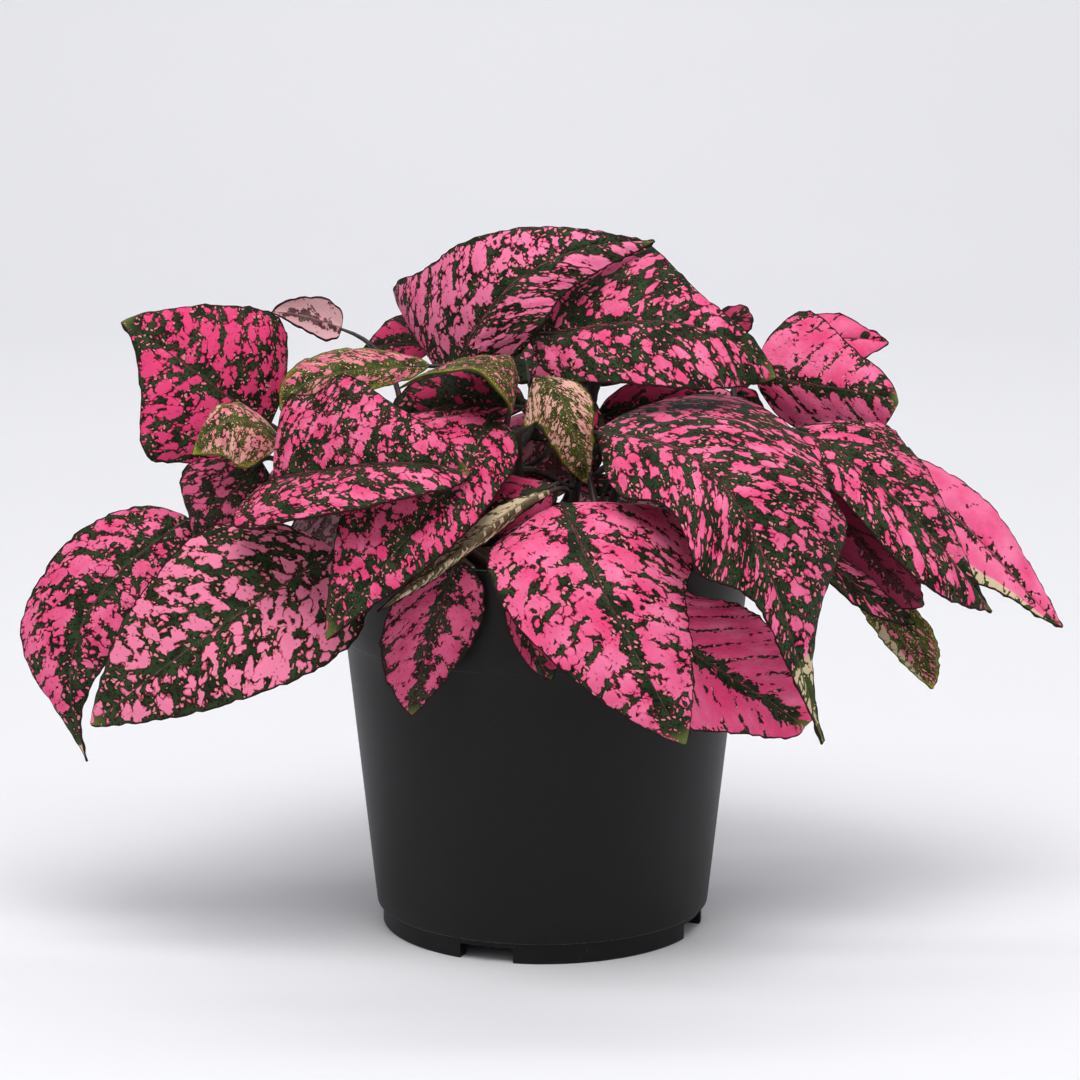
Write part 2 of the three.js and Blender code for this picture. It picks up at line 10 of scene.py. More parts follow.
import bpy
import numpy as np
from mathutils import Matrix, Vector


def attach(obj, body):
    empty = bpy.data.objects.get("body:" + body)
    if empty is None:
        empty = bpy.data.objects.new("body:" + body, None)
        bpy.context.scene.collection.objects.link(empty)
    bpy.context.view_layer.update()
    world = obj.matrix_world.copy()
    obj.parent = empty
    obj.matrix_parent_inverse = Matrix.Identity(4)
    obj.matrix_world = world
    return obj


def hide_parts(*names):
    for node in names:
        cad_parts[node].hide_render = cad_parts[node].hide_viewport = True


MM = 0.001

# The camera, as the photograph was taken

CAMERA_PLACE = (-0.66, -775, 236)
CAMERA_PITCH = 9.8
CAMERA_LENS = 100
CAMERA_SENSOR = 36
CAMERA_CLIP = 0.05

# The blade's form, with the same values as the solids

LEAST_WIDTH = 0.03
BELLY = 0.4
POINT = 0.9
WAVES = 2.5
WAVE_SHIFT = 0.4
ARCH_SHARE = 0.08
WAVE_SHARE = 0.03
PROBE = 0.02
ROW_CROWDING = 12
PLAIN_TRIM = (1, 1, 1, 1, 1)

# The fine blade: its mesh, thickness and relief. The two FLAT lines hold how far from the
# midrib and the edge the relief starts, and how far from them it is whole.

ROW_LENGTH = 1.0
COLUMN_WIDTH = 1.0
FEWEST_ROWS = 24
FEWEST_COLUMNS = 16
CENTRE_CROWDING = 0.55
BLADE_THICKNESS = 0.42
RIB_SAMPLES = 20
END_SHARE = 0.06
MARGIN_WAVES = (3.4, 5.3, 9.1)
MARGIN_STARTS = (1.0, 3.0)
MARGIN_DEPTH = 0.16
MARGIN_POWER = 9
FEWEST_VEINS = 3
VEIN_SPACING = 7.5
VEIN_STAGGER = 0.25
VEIN_SLOPE = 0.55
VEIN_BEND = 0.25
PUFF = 0.5
PUFF_WIDTH = 16
PUFF_ROUNDNESS = 0.8
PUFF_LEVEL = 0.6
FLAT_AT_RIB = (0.5, 3.5)
FLAT_AT_EDGE = (0.0, 3.0)
GROOVE_DEPTH = 0.35
GROOVE_WIDTH = 0.8
RIDGE_HEIGHT = 0.8
RIDGE_WIDTH = 0.8
RIDGE_TAPER = 0.7
VEIN_RIDGE = 0.14
VEIN_WIDTH = 0.06
HALF_SHIFT = 50
LEAF_SHIFT = (97, 61, 0)

# Stalks and stems. A stalk has its radii at the given shares of its length.

CURVE_STEPS = 40
STALK_SHARES = (0, 0.1, 0.85, 1)
STALK_RADII = (1.3, 1.0, 0.6, 0.3)
STALK_ROOT = 0.4
STALK_REACH = 0.4
STALK_END = 0.12
STALK_SINK = 0.25
STALK_BEND_STEPS = 60
STALK_STEPS = 20
STALK_SIDES = 10
STEM_FOOT = 79
STEM_COLLAR = 97
STEM_RISE_STEPS = 20
STEM_STEPS = 90
STEM_SIDES = 20
STEM_TAPER = 0.3
KNOT_SWELL = 0.3
KNOT_LENGTH = 0.012

# The pot

POT_HEIGHT = 103.5
RIM_RADIUS = 55
BODY_BOTTOM_RADIUS = 44
FOOT_RADIUS = 42.5
FOOT_HEIGHT = 5.5
FOOT_WALL = 4
RECESS_HEIGHT = 4
FLOOR_TOP = 6
WALL = 1.5
RIM_WALL = 2.2
RIM_DEPTH = 5
EDGE = 0.7
FOOT_EDGE = 0.35
RECESS_EDGE = 0.4
SEAM_STEP = 0.15
BAND_HEIGHT = 77
BAND_STEP = 0.4
NOTCH_ANGLES = (-110, -20, 70, 160)
NOTCH_WIDTH = 14.4
NOTCH_GAP = 0.06
COLUMN_GAP = 0.9
RECESS_SLOPE = 0.02
DRAIN_RADIUS = 4
DRAIN_CIRCLE = 31
DRAIN_DEPTH = 8
DRAIN_SIDES = 64
POT_SIDES = 240
POT_SHARP_ANGLE = 35

# The soil

SOIL_TOP = 91
SHELL_TOP = 94
SOIL_RISE = 2
SOIL_GAP = 0.6
SOIL_WAVE = 0.6
SOIL_TURNS = (0.37, 0.41)
SOIL_BED = 0.4
SOIL_EVEN_FROM = 0.97
SOIL_BOTTOM = 6.3
SOIL_GRID = 190
SOIL_SEED = 4
SOIL_SHARP_ANGLE = 60
GRAIN_COUNT = 2600
GRAIN_SIZES = (0.8, 2.6)
GRAIN_SHARES = (0.6, 1.0)
GRAIN_LENGTHS = (1.0, 1.9)
GRAIN_SINK = 0.5
GRAIN_HEIGHT = 0.75

# The pale sheet under and behind the plant

SHEET_SIDE = 4000
SHEET_FRONT = -3000
SHEET_BEND = 1600
SHEET_BEND_RADIUS = 900
SHEET_TOP = 4000


def colour(text):
    """A shader colour from the hexadecimal colour seen on a screen."""
    found = []
    for k in (0, 2, 4):
        seen = int(text[k:k + 2], 16) / 255
        found.append(seen / 12.92 if seen <= 0.04045 else ((seen + 0.055) / 1.055) ** 2.4)
    return (*found, 1.0)


def paint(rim=0.0, **colours):
    """The colours of a leaf's face, and how far its margin takes the tip's colour."""
    return {"rim": rim, **{name: colour(text) for name, text in colours.items()}}


# The light: each lamp's place, where it points, its size in metres and its power in watts

WORLD_STRENGTH = 0.26
PLANT_MIDDLE = (0.0, 0.0, 0.1)
LAMPS = {
    "key": ((0.0, -0.62, 1.25), PLANT_MIDDLE, (1.0, 0.7), 13),
    "left_side": ((-1.3, -0.5, 0.7), PLANT_MIDDLE, (0.8, 1.1), 2.0),
    "right_side": ((1.3, -0.5, 0.7), PLANT_MIDDLE, (0.8, 1.1), 2.0),
    "front": ((0.0, -1.6, 0.9), PLANT_MIDDLE, (1.2, 0.8), 1.2),
    "backdrop": ((0.0, 0.7, 2.2), (0.0, 2.4, 0.8), (3.0, 0.8), 34),
}

# The spots of a leaf's face: how far apart their cells lie, the widest radius of a spot, the
# share of the cells that hold one, and what moves the field on, in the pattern's millimetres

LARGE_SPOTS = (3.9, 2.2, 0.8)
MEDIUM_SPOTS = (2.0, 1.15, 0.6, (31.0, 17.0, 0.0))
SMALL_DOTS = (1.2, 0.46, 0.5, (11.0, 43.0, 0.0))
SPECKS = (2.2, 0.65, 0.12, (71.0, 23.0, 0.0))
SPOT_STRETCH = (0.75, 1.0, 1.0)
WANDER = 3.0
JITTER = 1.0

# How much the green gains on the side veins, the margin and the tip

VEIN_GREEN = 0.95
MARGIN_GREEN = 0.6
TIP_GREEN = 0.5

# A leaf's side or tail turns to cream from the share of its width or length that the leaf
# names. There it gets more lightness and the pale pinkness, and CREAM_STEP holds where the
# lightness starts to turn the pink to cream and where it has done so.

PALE_LIGHT = 1.6
PALE_PINK = 0.66
SIDE_BLEND = 0.08
SIDE_START = (0.3, 0.5)
TAIL_BLEND = 0.05
NEVER = 9
CREAM_STEP = (0.9, 1.7)
CREAM = colour("dcc6a2")
OLIVE = colour("5e6e34")

# How each kind of leaf is painted, on its upper face and under it, with how pink, how light
# and how fine its pattern is where the leaf doesn't say. How light a leaf is holds partly its own
# tone and partly painted light, and the shaded look is painted shade: deeper colours for leaves
# that lie in shade.

LOOKS = {
    "spotted": {
        "pink": 0.5, "light": 0.5, "fine": 0.85,
        "upper": paint(
            ground_deep="0d0706", ground="1e2a19", ground_light="32452a",
            fringe="ae264c", blotch="ea467c", blotch_light="fa82ac", dot="e08a92",
            tip="66723a", edge="2c1216", vein="4a6350",
        ),
        "under": paint(
            ground_deep="4c2a30", ground="5c4244", ground_light="7a645c",
            fringe="a0606e", blotch="bd7a8a", blotch_light="d8a8ac", dot="cfa49a",
            tip="9a9a60", edge="35181c", vein="4a2430",
        ),
    },
    # Painted shade: deeper, darker colours for leaves that lie in the plant's shade
    "shaded": {
        "pink": 0.8, "light": 0.3, "fine": 0.9,
        "upper": paint(
            ground_deep="171011", ground="20271d", ground_light="333b2a",
            fringe="8c1c3e", blotch="bd355f", blotch_light="da6088", dot="b8666c",
            tip="5f6534", edge="2c1016", vein="2c2422",
        ),
        "under": paint(
            ground_deep="2a0f14", ground="3a191e", ground_light="4c2428",
            fringe="74203a", blotch="96304f", blotch_light="ae4c6a", dot="9c5560",
            tip="6a5a38", edge="2c1016", vein="2c1016",
        ),
    },
    "young": {
        "pink": 0.5, "light": 0.35, "fine": 1.5,
        "upper": paint(
            ground_deep="262411", ground="2e381b", ground_light="55652b",
            fringe="b04a58", blotch="e4648c", blotch_light="eebfa8", dot="e4bf98",
            tip="a4a836", edge="52521f", vein="66805c", rim=0.8,
        ),
        "under": paint(
            ground_deep="55482c", ground="858050", ground_light="a89c64",
            fringe="ac7062", blotch="d09c8c", blotch_light="e2c8a8", dot="e0caa8",
            tip="a8a858", edge="544e24", vein="6a4a38", rim=0.5,
        ),
    },
}


def new_leaf(rib, left, right, stem, at, **more):
    """A leaf: its midrib's four points from heel to tip, its left and right edges where the
    blade is widest, its stem, how far along the stem it grows, and what else is its own."""
    return {"rib": rib, "left": left, "right": right, "stem": stem, "at": at, **more}


# The leaves that the front shows. A leaf's light is partly its own tone and partly painted
# light, and the shaded look is painted shade.

LEAVES = {
    "front_center": new_leaf(
        [[5, -46, 119], [11, -68, 108], [22, -78, 88], [34, -77, 66]], [33, -58, 104], [-12, -66, 102],
        "front", 0.97, left_trim=[2.6, 1.6, 1, 1, 1], left_lobe=14, pink=0.66,
    ),
    "front_small": new_leaf(
        [[-21, -55, 107], [-25, -57, 96], [-29, -57, 83], [-32, -55, 68]], [-15, -55, 91], [-39, -53, 90],
        "front", 0.6, look="shaded", pink=0.74, light=0.6, fine=1.3,
    ),
    "front_strip": new_leaf(
        [[-4, -57, 109], [-6, -59, 98], [-3, -58, 86], [2, -56, 77]], [3, -57, 93], [-9, -58, 92],
        "front", 0.7, look="shaded", pink=0.9,
    ),
    "front_right": new_leaf(
        [[19, -54, 107], [30, -54, 89], [47, -46, 75], [66, -38, 61]], [50, -40, 92], [29, -54, 68],
        "front", 0.85, left_trim=[0.8, 1, 1, 1, 1], right_trim=[0.8, 1, 1, 0.8, 0.8], point=0.6, pink=0.92,
        light=0.4,
    ),
    "right_front": new_leaf(
        [[14, -25, 134], [38, -50, 130], [53, -62, 109], [70, -46, 59]], [67, -40, 127], [35, -68, 114],
        "front", 0.9, left_trim=[4, 1.6, 1.08, 1.8, 0.5], right_trim=[3.4, 1.2, 1.12, 0.72, 1.5],
        left_lobe=24, right_lobe=8, point=1.8, pink=0.45, pale_tail=0.85,
    ),
    "right": new_leaf(
        [[64, -4, 132], [79, -16, 125], [98, -20, 108], [116, -14, 86]], [99, 0, 124], [78, -30, 115],
        "right", 0.97, left_trim=[1.8, 1.12, 0.85, 0.65, 0.1], right_trim=[1, 1, 1.15, 1.6, 1.5], point=1.1,
        fine=0.95,
    ),
    "far_right": new_leaf(
        [[89, 12, 120], [108, 6, 108], [123, 0, 93], [136, -6, 80]], [115, 14, 113], [101, -4, 96],
        "right", 0.75, right_trim=[1, 1, 0.8, 0.5, 0.6], point=1.1, pink=1.2, light=0.55, pale_side=0.62,
    ),
    "right_upper": new_leaf(
        [[56, 14, 145], [69, 9, 142], [80, 5, 141], [93, 4, 138]], [74, 20, 158], [77, 12, 127],
        "right", 0.9, left_trim=[1.2, 1.15, 0.95, 0.75, 0.9], right_trim=[1, 1, 1.1, 1.2, 1.4], point=0.7,
        pink=0.75, fine=0.95,
    ),
    "right_behind": new_leaf(
        [[66, 30, 148], [75, 31, 151], [84, 30, 152], [93, 28, 151]], [79, 36, 158], [79, 26, 144],
        "back_right", 0.95, left_trim=[1.3, 1.2, 0.9, 0.6, 0.6], pink=1.25, light=0.4,
    ),
    "top_front": new_leaf(
        [[-2, 4, 156], [15, -8, 159], [37, -14, 160], [60, -6, 146]], [24, 6, 175], [21, -24, 144],
        "top", 0.97, left_trim=[2.6, 1.7, 1.1, 0.56, 0.5], right_trim=[0.8, 0.85, 0.93, 1.12, 1.1],
        left_lobe=10, point=0.8, pink=0.47, fine=1.0,
    ),
    "top": new_leaf(
        [[-24, 12, 141], [-14, -2, 162], [3, -4, 176], [29, 4, 180]], [-25, 12, 176], [1, -6, 164],
        "top", 0.85, left_trim=[2.9, 1.37, 0.9, 0.6, 0.05], right_trim=[1.8, 1.5, 1, 1, 1], pink=0.56,
        light=0.75, fine=0.95,
    ),
    "top_behind": new_leaf(
        [[39, 24, 150], [44, 24, 153], [50, 23, 157], [55, 22, 160]], [47, 28, 159], [52, 20, 152],
        "top", 0.6, look="shaded",
    ),
    "top_left_behind": new_leaf(
        [[-27, 30, 150], [-35, 28, 151], [-42, 26, 151], [-49, 24, 149]], [-38, 22, 145], [-37, 34, 158],
        "top", 0.7, point=1.9, look="shaded",
    ),
    "left_upper": new_leaf(
        [[-70, -10, 134], [-81, -16, 143], [-93, -16, 152], [-108, -8, 160]], [-98, -20, 129],
        [-73, -8, 162],
        "left", 0.97, left_trim=[1, 1, 1.13, 0.62, 0.1], right_trim=[1.25, 1.2, 1.05, 0.84, 0.6],
        belly=0.45, point=0.6, pink=0.57, light=0.2, fine=1.1,
    ),
    "left_behind": new_leaf(
        [[-53, 14, 156], [-59, 14, 158], [-65, 12, 160], [-71, 8, 161]], [-57, 16, 164], [-58, 10, 154],
        "left", 0.6, belly=0.3, pink=1.15, light=0.9,
    ),
    "left_crest": new_leaf(
        [[-29, -8, 149], [-44, -14, 149], [-58, -20, 147], [-66, -22, 139]], [-50, -20, 143],
        [-52, -8, 153],
        "top", 0.8, look="young", pink=0.62, light=0.4, fine=1.7,
    ),
    "left_middle": new_leaf(
        [[-67, -36, 124], [-52, -50, 128], [-35, -59, 131], [-18, -54, 128]], [-52, -38, 148],
        [-53, -68, 120],
        "left", 0.99, left_trim=[1.6, 1, 1.08, 0.92, 0.9], right_trim=[1.6, 1.2, 1, 1, 1], right_lobe=15,
        fine=1.25,
    ),
    "left_center": new_leaf(
        [[-13, -30, 139], [-22, -54, 126], [-36, -66, 110], [-52, -66, 89]], [-17, -60, 116],
        [-46, -37, 136],
        "middle", 0.95, left_trim=[1.8, 1.1, 1, 0.8, 0.7], right_trim=[1, 1, 1, 0.9, 0.9], left_lobe=3,
        pink=0.55, light=0.4, fine=1.25,
    ),
    "folded_edge": new_leaf(
        [[3, -43, 122], [-9, -53, 117], [-22, -60, 108], [-40, -61, 95]], [-16, -52, 116], [-13, -56, 112],
        "middle", 0.6, arch=0.6, wave=0.4, pink=0.6, light=2, fine=1.5,
    ),
    "left_low": new_leaf(
        [[-52, -34, 105], [-72, -46, 94], [-93, -46, 79], [-114, -36, 61]], [-62, -56, 76], [-90, -36, 106],
        "left", 0.5, left_trim=[1.5, 1.12, 0.92, 0.8, 0.7], right_trim=[1.3, 1.1, 1, 1, 1], pink=0.52,
        light=1.02,
    ),
    "far_left": new_leaf(
        [[-91, -14, 110], [-108, -22, 98], [-120, -24, 78], [-118, -18, 47]], [-97, -26, 88],
        [-123.2, -14, 102.6],
        "left", 0.8, left_trim=[1, 1, 1.05, 0.85, 0.3], right_trim=[1.2, 1, 1.08, 1.36, 0.4], point=1.1,
        pink=0.56, fine=1.05, pale_tail=0.93,
    ),
    "left_young": new_leaf(
        [[-66, -26, 132], [-73, -34, 138], [-80, -38, 138], [-87, -36, 130]], [-75, -42, 128],
        [-77, -26, 141],
        "left", 0.95, left_trim=[0.9, 1.1, 1, 1, 1], right_trim=[3, 1.6, 1, 1, 1], look="young", pink=0.55,
        light=0.55, fine=2.0,
    ),
    "left_dark": new_leaf(
        [[-71, -26, 127], [-77, -30, 121], [-83, -31, 114], [-88, -27, 107]], [-71, -28, 112],
        [-91, -21, 124],
        "left", 0.9, left_trim=[1.3, 1.2, 1, 1, 1], look="shaded", pink=0.5, light=0.85, fine=1.1,
    ),
    "left_tiny": new_leaf(
        [[-78, -8, 115], [-83, -8, 116], [-88, -8, 117], [-93, -8, 116]], [-85, -8, 113], [-86, -4, 119],
        "left", 0.7, look="young", pink=0.3,
    ),
    "crown_curl": new_leaf(
        [[-8, -28, 140], [-9, -30, 149], [-18, -28, 152], [-36, -23, 145]], [-14, -44, 150],
        [-10, -13, 152],
        "middle", 0.99, look="young", pink=0.32, light=0.4, fine=2.0,
    ),
    "crown_young": new_leaf(
        [[-2, -24, 148], [4, -36, 145], [8, -38, 134], [11, -32, 122]], [12, -34, 140], [0, -36, 137],
        "middle", 0.98, left_trim=[1.5, 1.3, 1, 1, 1], right_trim=[3.4, 1.4, 1, 1, 1], look="young",
        pink=0.6, light=0.75, fine=2.0,
    ),
    "crown_dark": new_leaf(
        [[9, -15, 120], [9, -17, 129], [6, -18, 138], [0, -20, 145]], [0, -19, 135], [16, -17, 136],
        "middle", 0.8, look="shaded", pink=0.2, light=0,
    ),
    "under_center": new_leaf(
        [[3, -33, 122], [-4, -38, 120], [-13, -40, 116], [-20, -40, 108]], [-4, -40, 112], [-11, -28, 123],
        "middle", 0.7, look="shaded",
    ),
    "under_right": new_leaf(
        [[67, -8, 119], [79, -12, 107], [89, -12, 96], [99, -8, 86]], [78, -14, 95], [92, -6, 103],
        "right", 0.8, look="shaded", pink=0.95, light=0,
    ),
    "low_right": new_leaf(
        [[66, -20, 104], [74, -23, 99], [84, -21, 91], [96, -16, 83]], [82, -18, 97], [77, -28, 92],
        "right", 0.5,
    ),
    "low_right_tip": new_leaf(
        [[79, -4, 94], [88, -9, 85], [95, -10, 75], [102, -8, 64]], [102, -4, 79], [87, -4, 79],
        "right", 0.85, look="young", pink=0.25, pale_side=0.4,
    ),
    "behind_right_high": new_leaf(
        [[39, 18, 138], [43, 18, 138], [47, 18, 138], [51, 18, 137]], [46, 20, 140], [45, 17, 132],
        "right", 0.85, pink=1.1,
    ),
    "behind_right_low": new_leaf(
        [[50, 24, 137], [53, 24, 137], [56, 23, 135], [60, 22, 132]], [56, 24, 139], [53, 22, 133],
        "right", 0.97, look="shaded",
    ),
    "behind_center": new_leaf(
        [[14, 12, 133], [22, 12, 135], [32, 10, 136], [43, 8, 135]], [31, 13, 144], [29, 8, 127],
        "top", 0.7, look="shaded",
    ),
    "crown_under": new_leaf(
        [[-4, -15, 139], [-15, -13, 140], [-27, -13, 139], [-40, -15, 135]], [-27, -21, 130],
        [-21, -10, 150],
        "middle", 0.9, look="shaded", pink=0.45, light=0,
    ),
}

# The leaves of the far side spread round the pot. Each lies in an upright plane through the
# pot's axis, and its midrib is given by radius and height.

LOW = [[46, 107], [63, 110], [78, 97], [85, 71]]
MIDDLE = [[38, 123], [56, 129], [72, 120], [81, 101]]
HIGH = [[22, 141], [38, 151], [54, 151], [66, 137]]

FAR_LEAVES = {
    "back_low_right": (34, LOW, 19, 4, "back_right", 0.55),
    "back_low_center_right": (69, LOW, 19, 4, "back_right", 0.65),
    "back_low_center_left": (104, LOW, 20, 4, "back", 0.6),
    "back_low_left": (142, LOW, 20, 4, "back", 0.7),
    "back_middle_right": (50, MIDDLE, 18, 5, "back_right", 0.95),
    "back_middle_center": (87, MIDDLE, 18, 5, "back", 0.9),
    "back_middle_left": (124, MIDDLE, 18, 5, "back", 0.95),
    "back_high_right": (56, HIGH, 13, 5, "top", 0.9),
    "back_high_left": (99, HIGH, 11, 5, "top", 0.95),
    "back_far_left": (165, MIDDLE, 17, 5, "left", 0.4),
}

# Each stem's radius, its root, where it stands upright in the soil, and the points that it bends
# through from there to its tip

STEMS = {
    "left": (1.7, [-16, -5], [[-29, -9, 108], [-49, -17, 121], [-64, -23, 128]]),
    "middle": (1.7, [-3, -9], [[-4, -15, 107], [-6, -22, 121], [-7, -26, 135]]),
    "top": (1.8, [6, 6], [[8, 8, 111], [11, 8, 129], [14, 7, 145]]),
    "right": (1.7, [20, 2], [[29, 3, 107], [45, 4, 119], [60, 4, 128]]),
    "front": (1.5, [9, -20], [[11, -25, 101], [13, -33, 108], [15, -40, 114]]),
    "back": (1.6, [-8, 20], [[-10, 26, 105], [-13, 30, 112], [-15, 33, 118]]),
    "back_right": (1.6, [16, 22], [[18, 26, 105], [20, 29, 111], [22, 31, 117]]),
}


# Vectors and curves


def unit(v):
    return v / np.linalg.norm(v, axis=-1, keepdims=True)


def turned(v, start, end):
    """v, turned the shortest way that takes the direction start to each direction in end."""
    axis = np.cross(start, end)
    cosine = (start * end).sum(-1, keepdims=True)
    along_axis = (axis * v).sum(-1, keepdims=True)
    return v * cosine + np.cross(axis, v) + axis * along_axis / (1 + cosine)


def smoothstep(low, high, x):
    share = np.clip((x - low) / (high - low), 0, 1)
    return share * share * (3 - 2 * share)


def bezier(a, b, c, d, u):
    u = u[:, None]
    return (1 - u) ** 3 * a + 3 * (1 - u) ** 2 * u * b + 3 * (1 - u) * u * u * c + u ** 3 * d


def bell(x):
    return np.exp(-(x ** 2))


def between_places(at, known, places):
    """The places at the values at, from places with known values."""
    return np.stack([np.interp(at, known, places[:, k]) for k in range(3)], axis=-1)


def spaced_evenly(path, count):
    """count + 1 places along a path of many places, at even lengths."""
    lengths = np.concatenate([[0], np.cumsum(np.linalg.norm(np.diff(path, axis=0), axis=1))])
    return between_places(np.linspace(0, lengths[-1], count + 1), lengths, path)


def curve_through(points):
    """A smooth curve through the points, close to its corners where they lie far apart."""
    points = [np.array(p, float) for p in points]
    points = [2 * points[0] - points[1], *points, 2 * points[-1] - points[-2]]
    found = []
    for a, b, c, d in zip(points, points[1:], points[2:], points[3:]):
        before, span, after = (math.sqrt(np.linalg.norm(q - p)) for p, q in ((a, b), (b, c), (c, d)))
        out = ((b - a) / before - (c - a) / (before + span) + (c - b) / span) * span
        into = ((c - b) / span - (d - b) / (span + after) + (d - c) / after) * span
        for u in np.linspace(0, 1, CURVE_STEPS, endpoint=False):
            square = 3 * (c - b) - 2 * out - into
            cube = 2 * (b - c) + out + into
            found.append(b + u * (out + u * (square + u * cube)))
    found.append(points[-2])
    return np.array(found)


def rib_point(rib, t):
    """The midrib's places at t, on the smooth curve through its four points."""
    a = 3 * np.asarray(t, float)[..., None]
    weights = (
        (1 - a) * (2 - a) * (3 - a) / 6,
        a * (2 - a) * (3 - a) / 2,
        a * (a - 1) * (3 - a) / 2,
        a * (a - 1) * (a - 2) / 6,
    )
    return sum(weight * np.array(p, float) for weight, p in zip(weights, rib))


def rib_direction(rib, t):
    t = np.asarray(t, float)
    return unit(rib_point(rib, t + PROBE / 2) - rib_point(rib, t - PROBE / 2))


def spread(azimuth, curve, half, droop, stem, at):
    """A leaf of the far side, which reaches half to each side, with its edges lower by droop."""
    out = np.array([math.cos(math.radians(azimuth)), math.sin(math.radians(azimuth)), 0])
    rib = [out * radius + [0, 0, height] for radius, height in curve]
    middle = rib_point(rib, BELLY)
    over = np.array([-out[1], out[0], 0]) * half
    drop = np.array([0, 0, -droop])
    return new_leaf(rib, middle + over + drop, middle - over + drop, stem, at)


LEAVES.update({name: spread(*values) for name, values in FAR_LEAVES.items()})


# The blade's form


def fullness(t, belly, point):
    """How wide the blade is at t, from nearly 0 at its ends to 1 at the belly."""
    rise = point * belly / (1 - belly)
    share = (t / belly) ** rise * ((1 - t) / (1 - belly)) ** point
    return LEAST_WIDTH + (1 - LEAST_WIDTH) * share


def trim_at(trim, t):
    """What a half's width is multiplied by, through five places from heel to tip."""
    trim = np.array(trim, float)
    k = np.minimum((4 * t).astype(int), 3)
    f = 4 * t - k
    before = trim[np.maximum(k - 1, 0)]
    start = trim[k]
    stop = trim[k + 1]
    after = trim[np.minimum(k + 2, 4)]
    bend = 2 * before - 5 * start + 4 * stop - after + f * (3 * (start - stop) + after - before)
    return start + 0.5 * f * (stop - before + f * bend)


def blade_places(leaf, t, s):
    """The blade's middle surface at the rows t and columns s, and how wide each half is there."""
    rib = leaf["rib"]
    belly = leaf.get("belly", BELLY)
    middle = rib_point(rib, belly)
    start = rib_direction(rib, belly)
    along = rib_direction(rib, t)
    left = np.array(leaf["left"]) - middle
    right = np.array(leaf["right"]) - middle
    up = unit(np.cross(right - left, start))
    half = np.linalg.norm(right - left) / 2
    arch = leaf.get("arch", ARCH_SHARE * half)
    wave = leaf.get("wave", WAVE_SHARE * half)
    left, right, up = (turned(v, start, along)[:, None] for v in (left, right, up))
    on_left = (s < 0)[None]
    side = np.abs(s)[None]
    t = t[:, None]
    full = fullness(t, belly, leaf.get("point", POINT)) * np.where(
        on_left,
        trim_at(leaf.get("left_trim", PLAIN_TRIM), t),
        trim_at(leaf.get("right_trim", PLAIN_TRIM), t),
    )
    across = np.where(on_left[..., None], left, right)
    turns = WAVES * t + np.where(on_left, 0, WAVE_SHIFT)
    ripple = wave * side ** 2 * np.sin(2 * math.pi * turns)
    lobe = np.where(on_left, leaf.get("left_lobe", 0), leaf.get("right_lobe", 0))
    back = np.where(t < belly, lobe * side * full * (1 - t / belly), 0)
    lift = full * arch * np.sin(math.pi * side) + np.sqrt(full) * ripple
    places = rib_point(rib, t[:, 0])[:, None] + across * (full * side)[..., None]
    places = places + up * lift[..., None] - along[:, None] * back[..., None]
    return places, full * np.linalg.norm(across, axis=-1)


def uneven_margin(middle, along, s, number):
    """What moves the blade's edges in and out a little, in waves of several lengths."""
    across = unit(middle[:, -1] - middle[:, 0])[:, None] * s[None, :, None] ** MARGIN_POWER
    shift = 0
    for wave in MARGIN_WAVES:
        start = number * wave + np.where(s < 0, *MARGIN_STARTS)[None]
        shift = shift + np.sin(2 * math.pi * along[:, None] / wave + start)
    return across * (MARGIN_DEPTH * shift)[..., None]


def grid_faces(rows, columns, first=0, flip=False):
    """The quads of a grid of places, row after row, from the place first on."""
    a = first + np.arange(rows)[:, None] * (columns + 1) + np.arange(columns)[None]
    quads = np.stack([a, a + 1, a + columns + 2, a + columns + 1], axis=-1).reshape(-1, 4)
    return quads[:, ::-1] if flip else quads


def grid_border(rows, columns):
    """The places round the border of a grid, one after another."""
    index = np.arange((rows + 1) * (columns + 1)).reshape(rows + 1, columns + 1)
    return np.concatenate([index[0, :-1], index[:-1, -1], index[-1, :0:-1], index[:0:-1, 0]])


def tube(path, radii, sides, first=0):
    """Places and faces of a closed tube along a path."""
    heading = unit(np.gradient(path, axis=0))
    side = np.cross(heading[0], [0, 0, 1])
    if np.linalg.norm(side) < 0.1:
        side = np.array([1.0, 0, 0])
    sides_at = []
    for direction in heading:
        side = unit(side - direction * (side @ direction))
        sides_at.append(side)
    side = np.array(sides_at)[:, None]
    other = np.cross(heading[:, None], side)
    angle = (2 * math.pi * np.arange(sides) / sides)[None, :, None]
    rings = path[:, None] + (side * np.cos(angle) + other * np.sin(angle)) * radii[:, None, None]
    faces = []
    for i in range(len(path) - 1):
        for j in range(sides):
            k = (j + 1) % sides
            faces.append([i * sides + j, i * sides + k, (i + 1) * sides + k, (i + 1) * sides + j])
    faces.append(list(range(sides))[::-1])
    faces.append([(len(path) - 1) * sides + j for j in range(sides)])
    return rings.reshape(-1, 3), [[first + v for v in face] for face in faces]


def add_object(name, data):
    made = bpy.data.objects.new(name, data)
    bpy.context.scene.collection.objects.link(made)
    return made


def add_mesh(name, places, faces):
    """A new smooth object, from places in millimetres."""
    mesh = bpy.data.meshes.new(name)
    mesh.from_pydata((np.asarray(places) * MM).tolist(), [], [list(map(int, f)) for f in faces])
    mesh.update()
    mesh.polygons.foreach_set("use_smooth", [True] * len(mesh.polygons))
    return add_object(name, mesh)


def piece(name, places, faces):
    """A new object of the part."""
    made = add_mesh(name, places, faces)
    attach(made, "root")
    return made


def set_vectors(mesh, name, values):
    layer = mesh.attributes.new(name, "FLOAT_VECTOR", "POINT")
    layer.data.foreach_set("vector", np.asarray(values, np.float32).ravel())


# Finishes: a material's nodes are added one after another


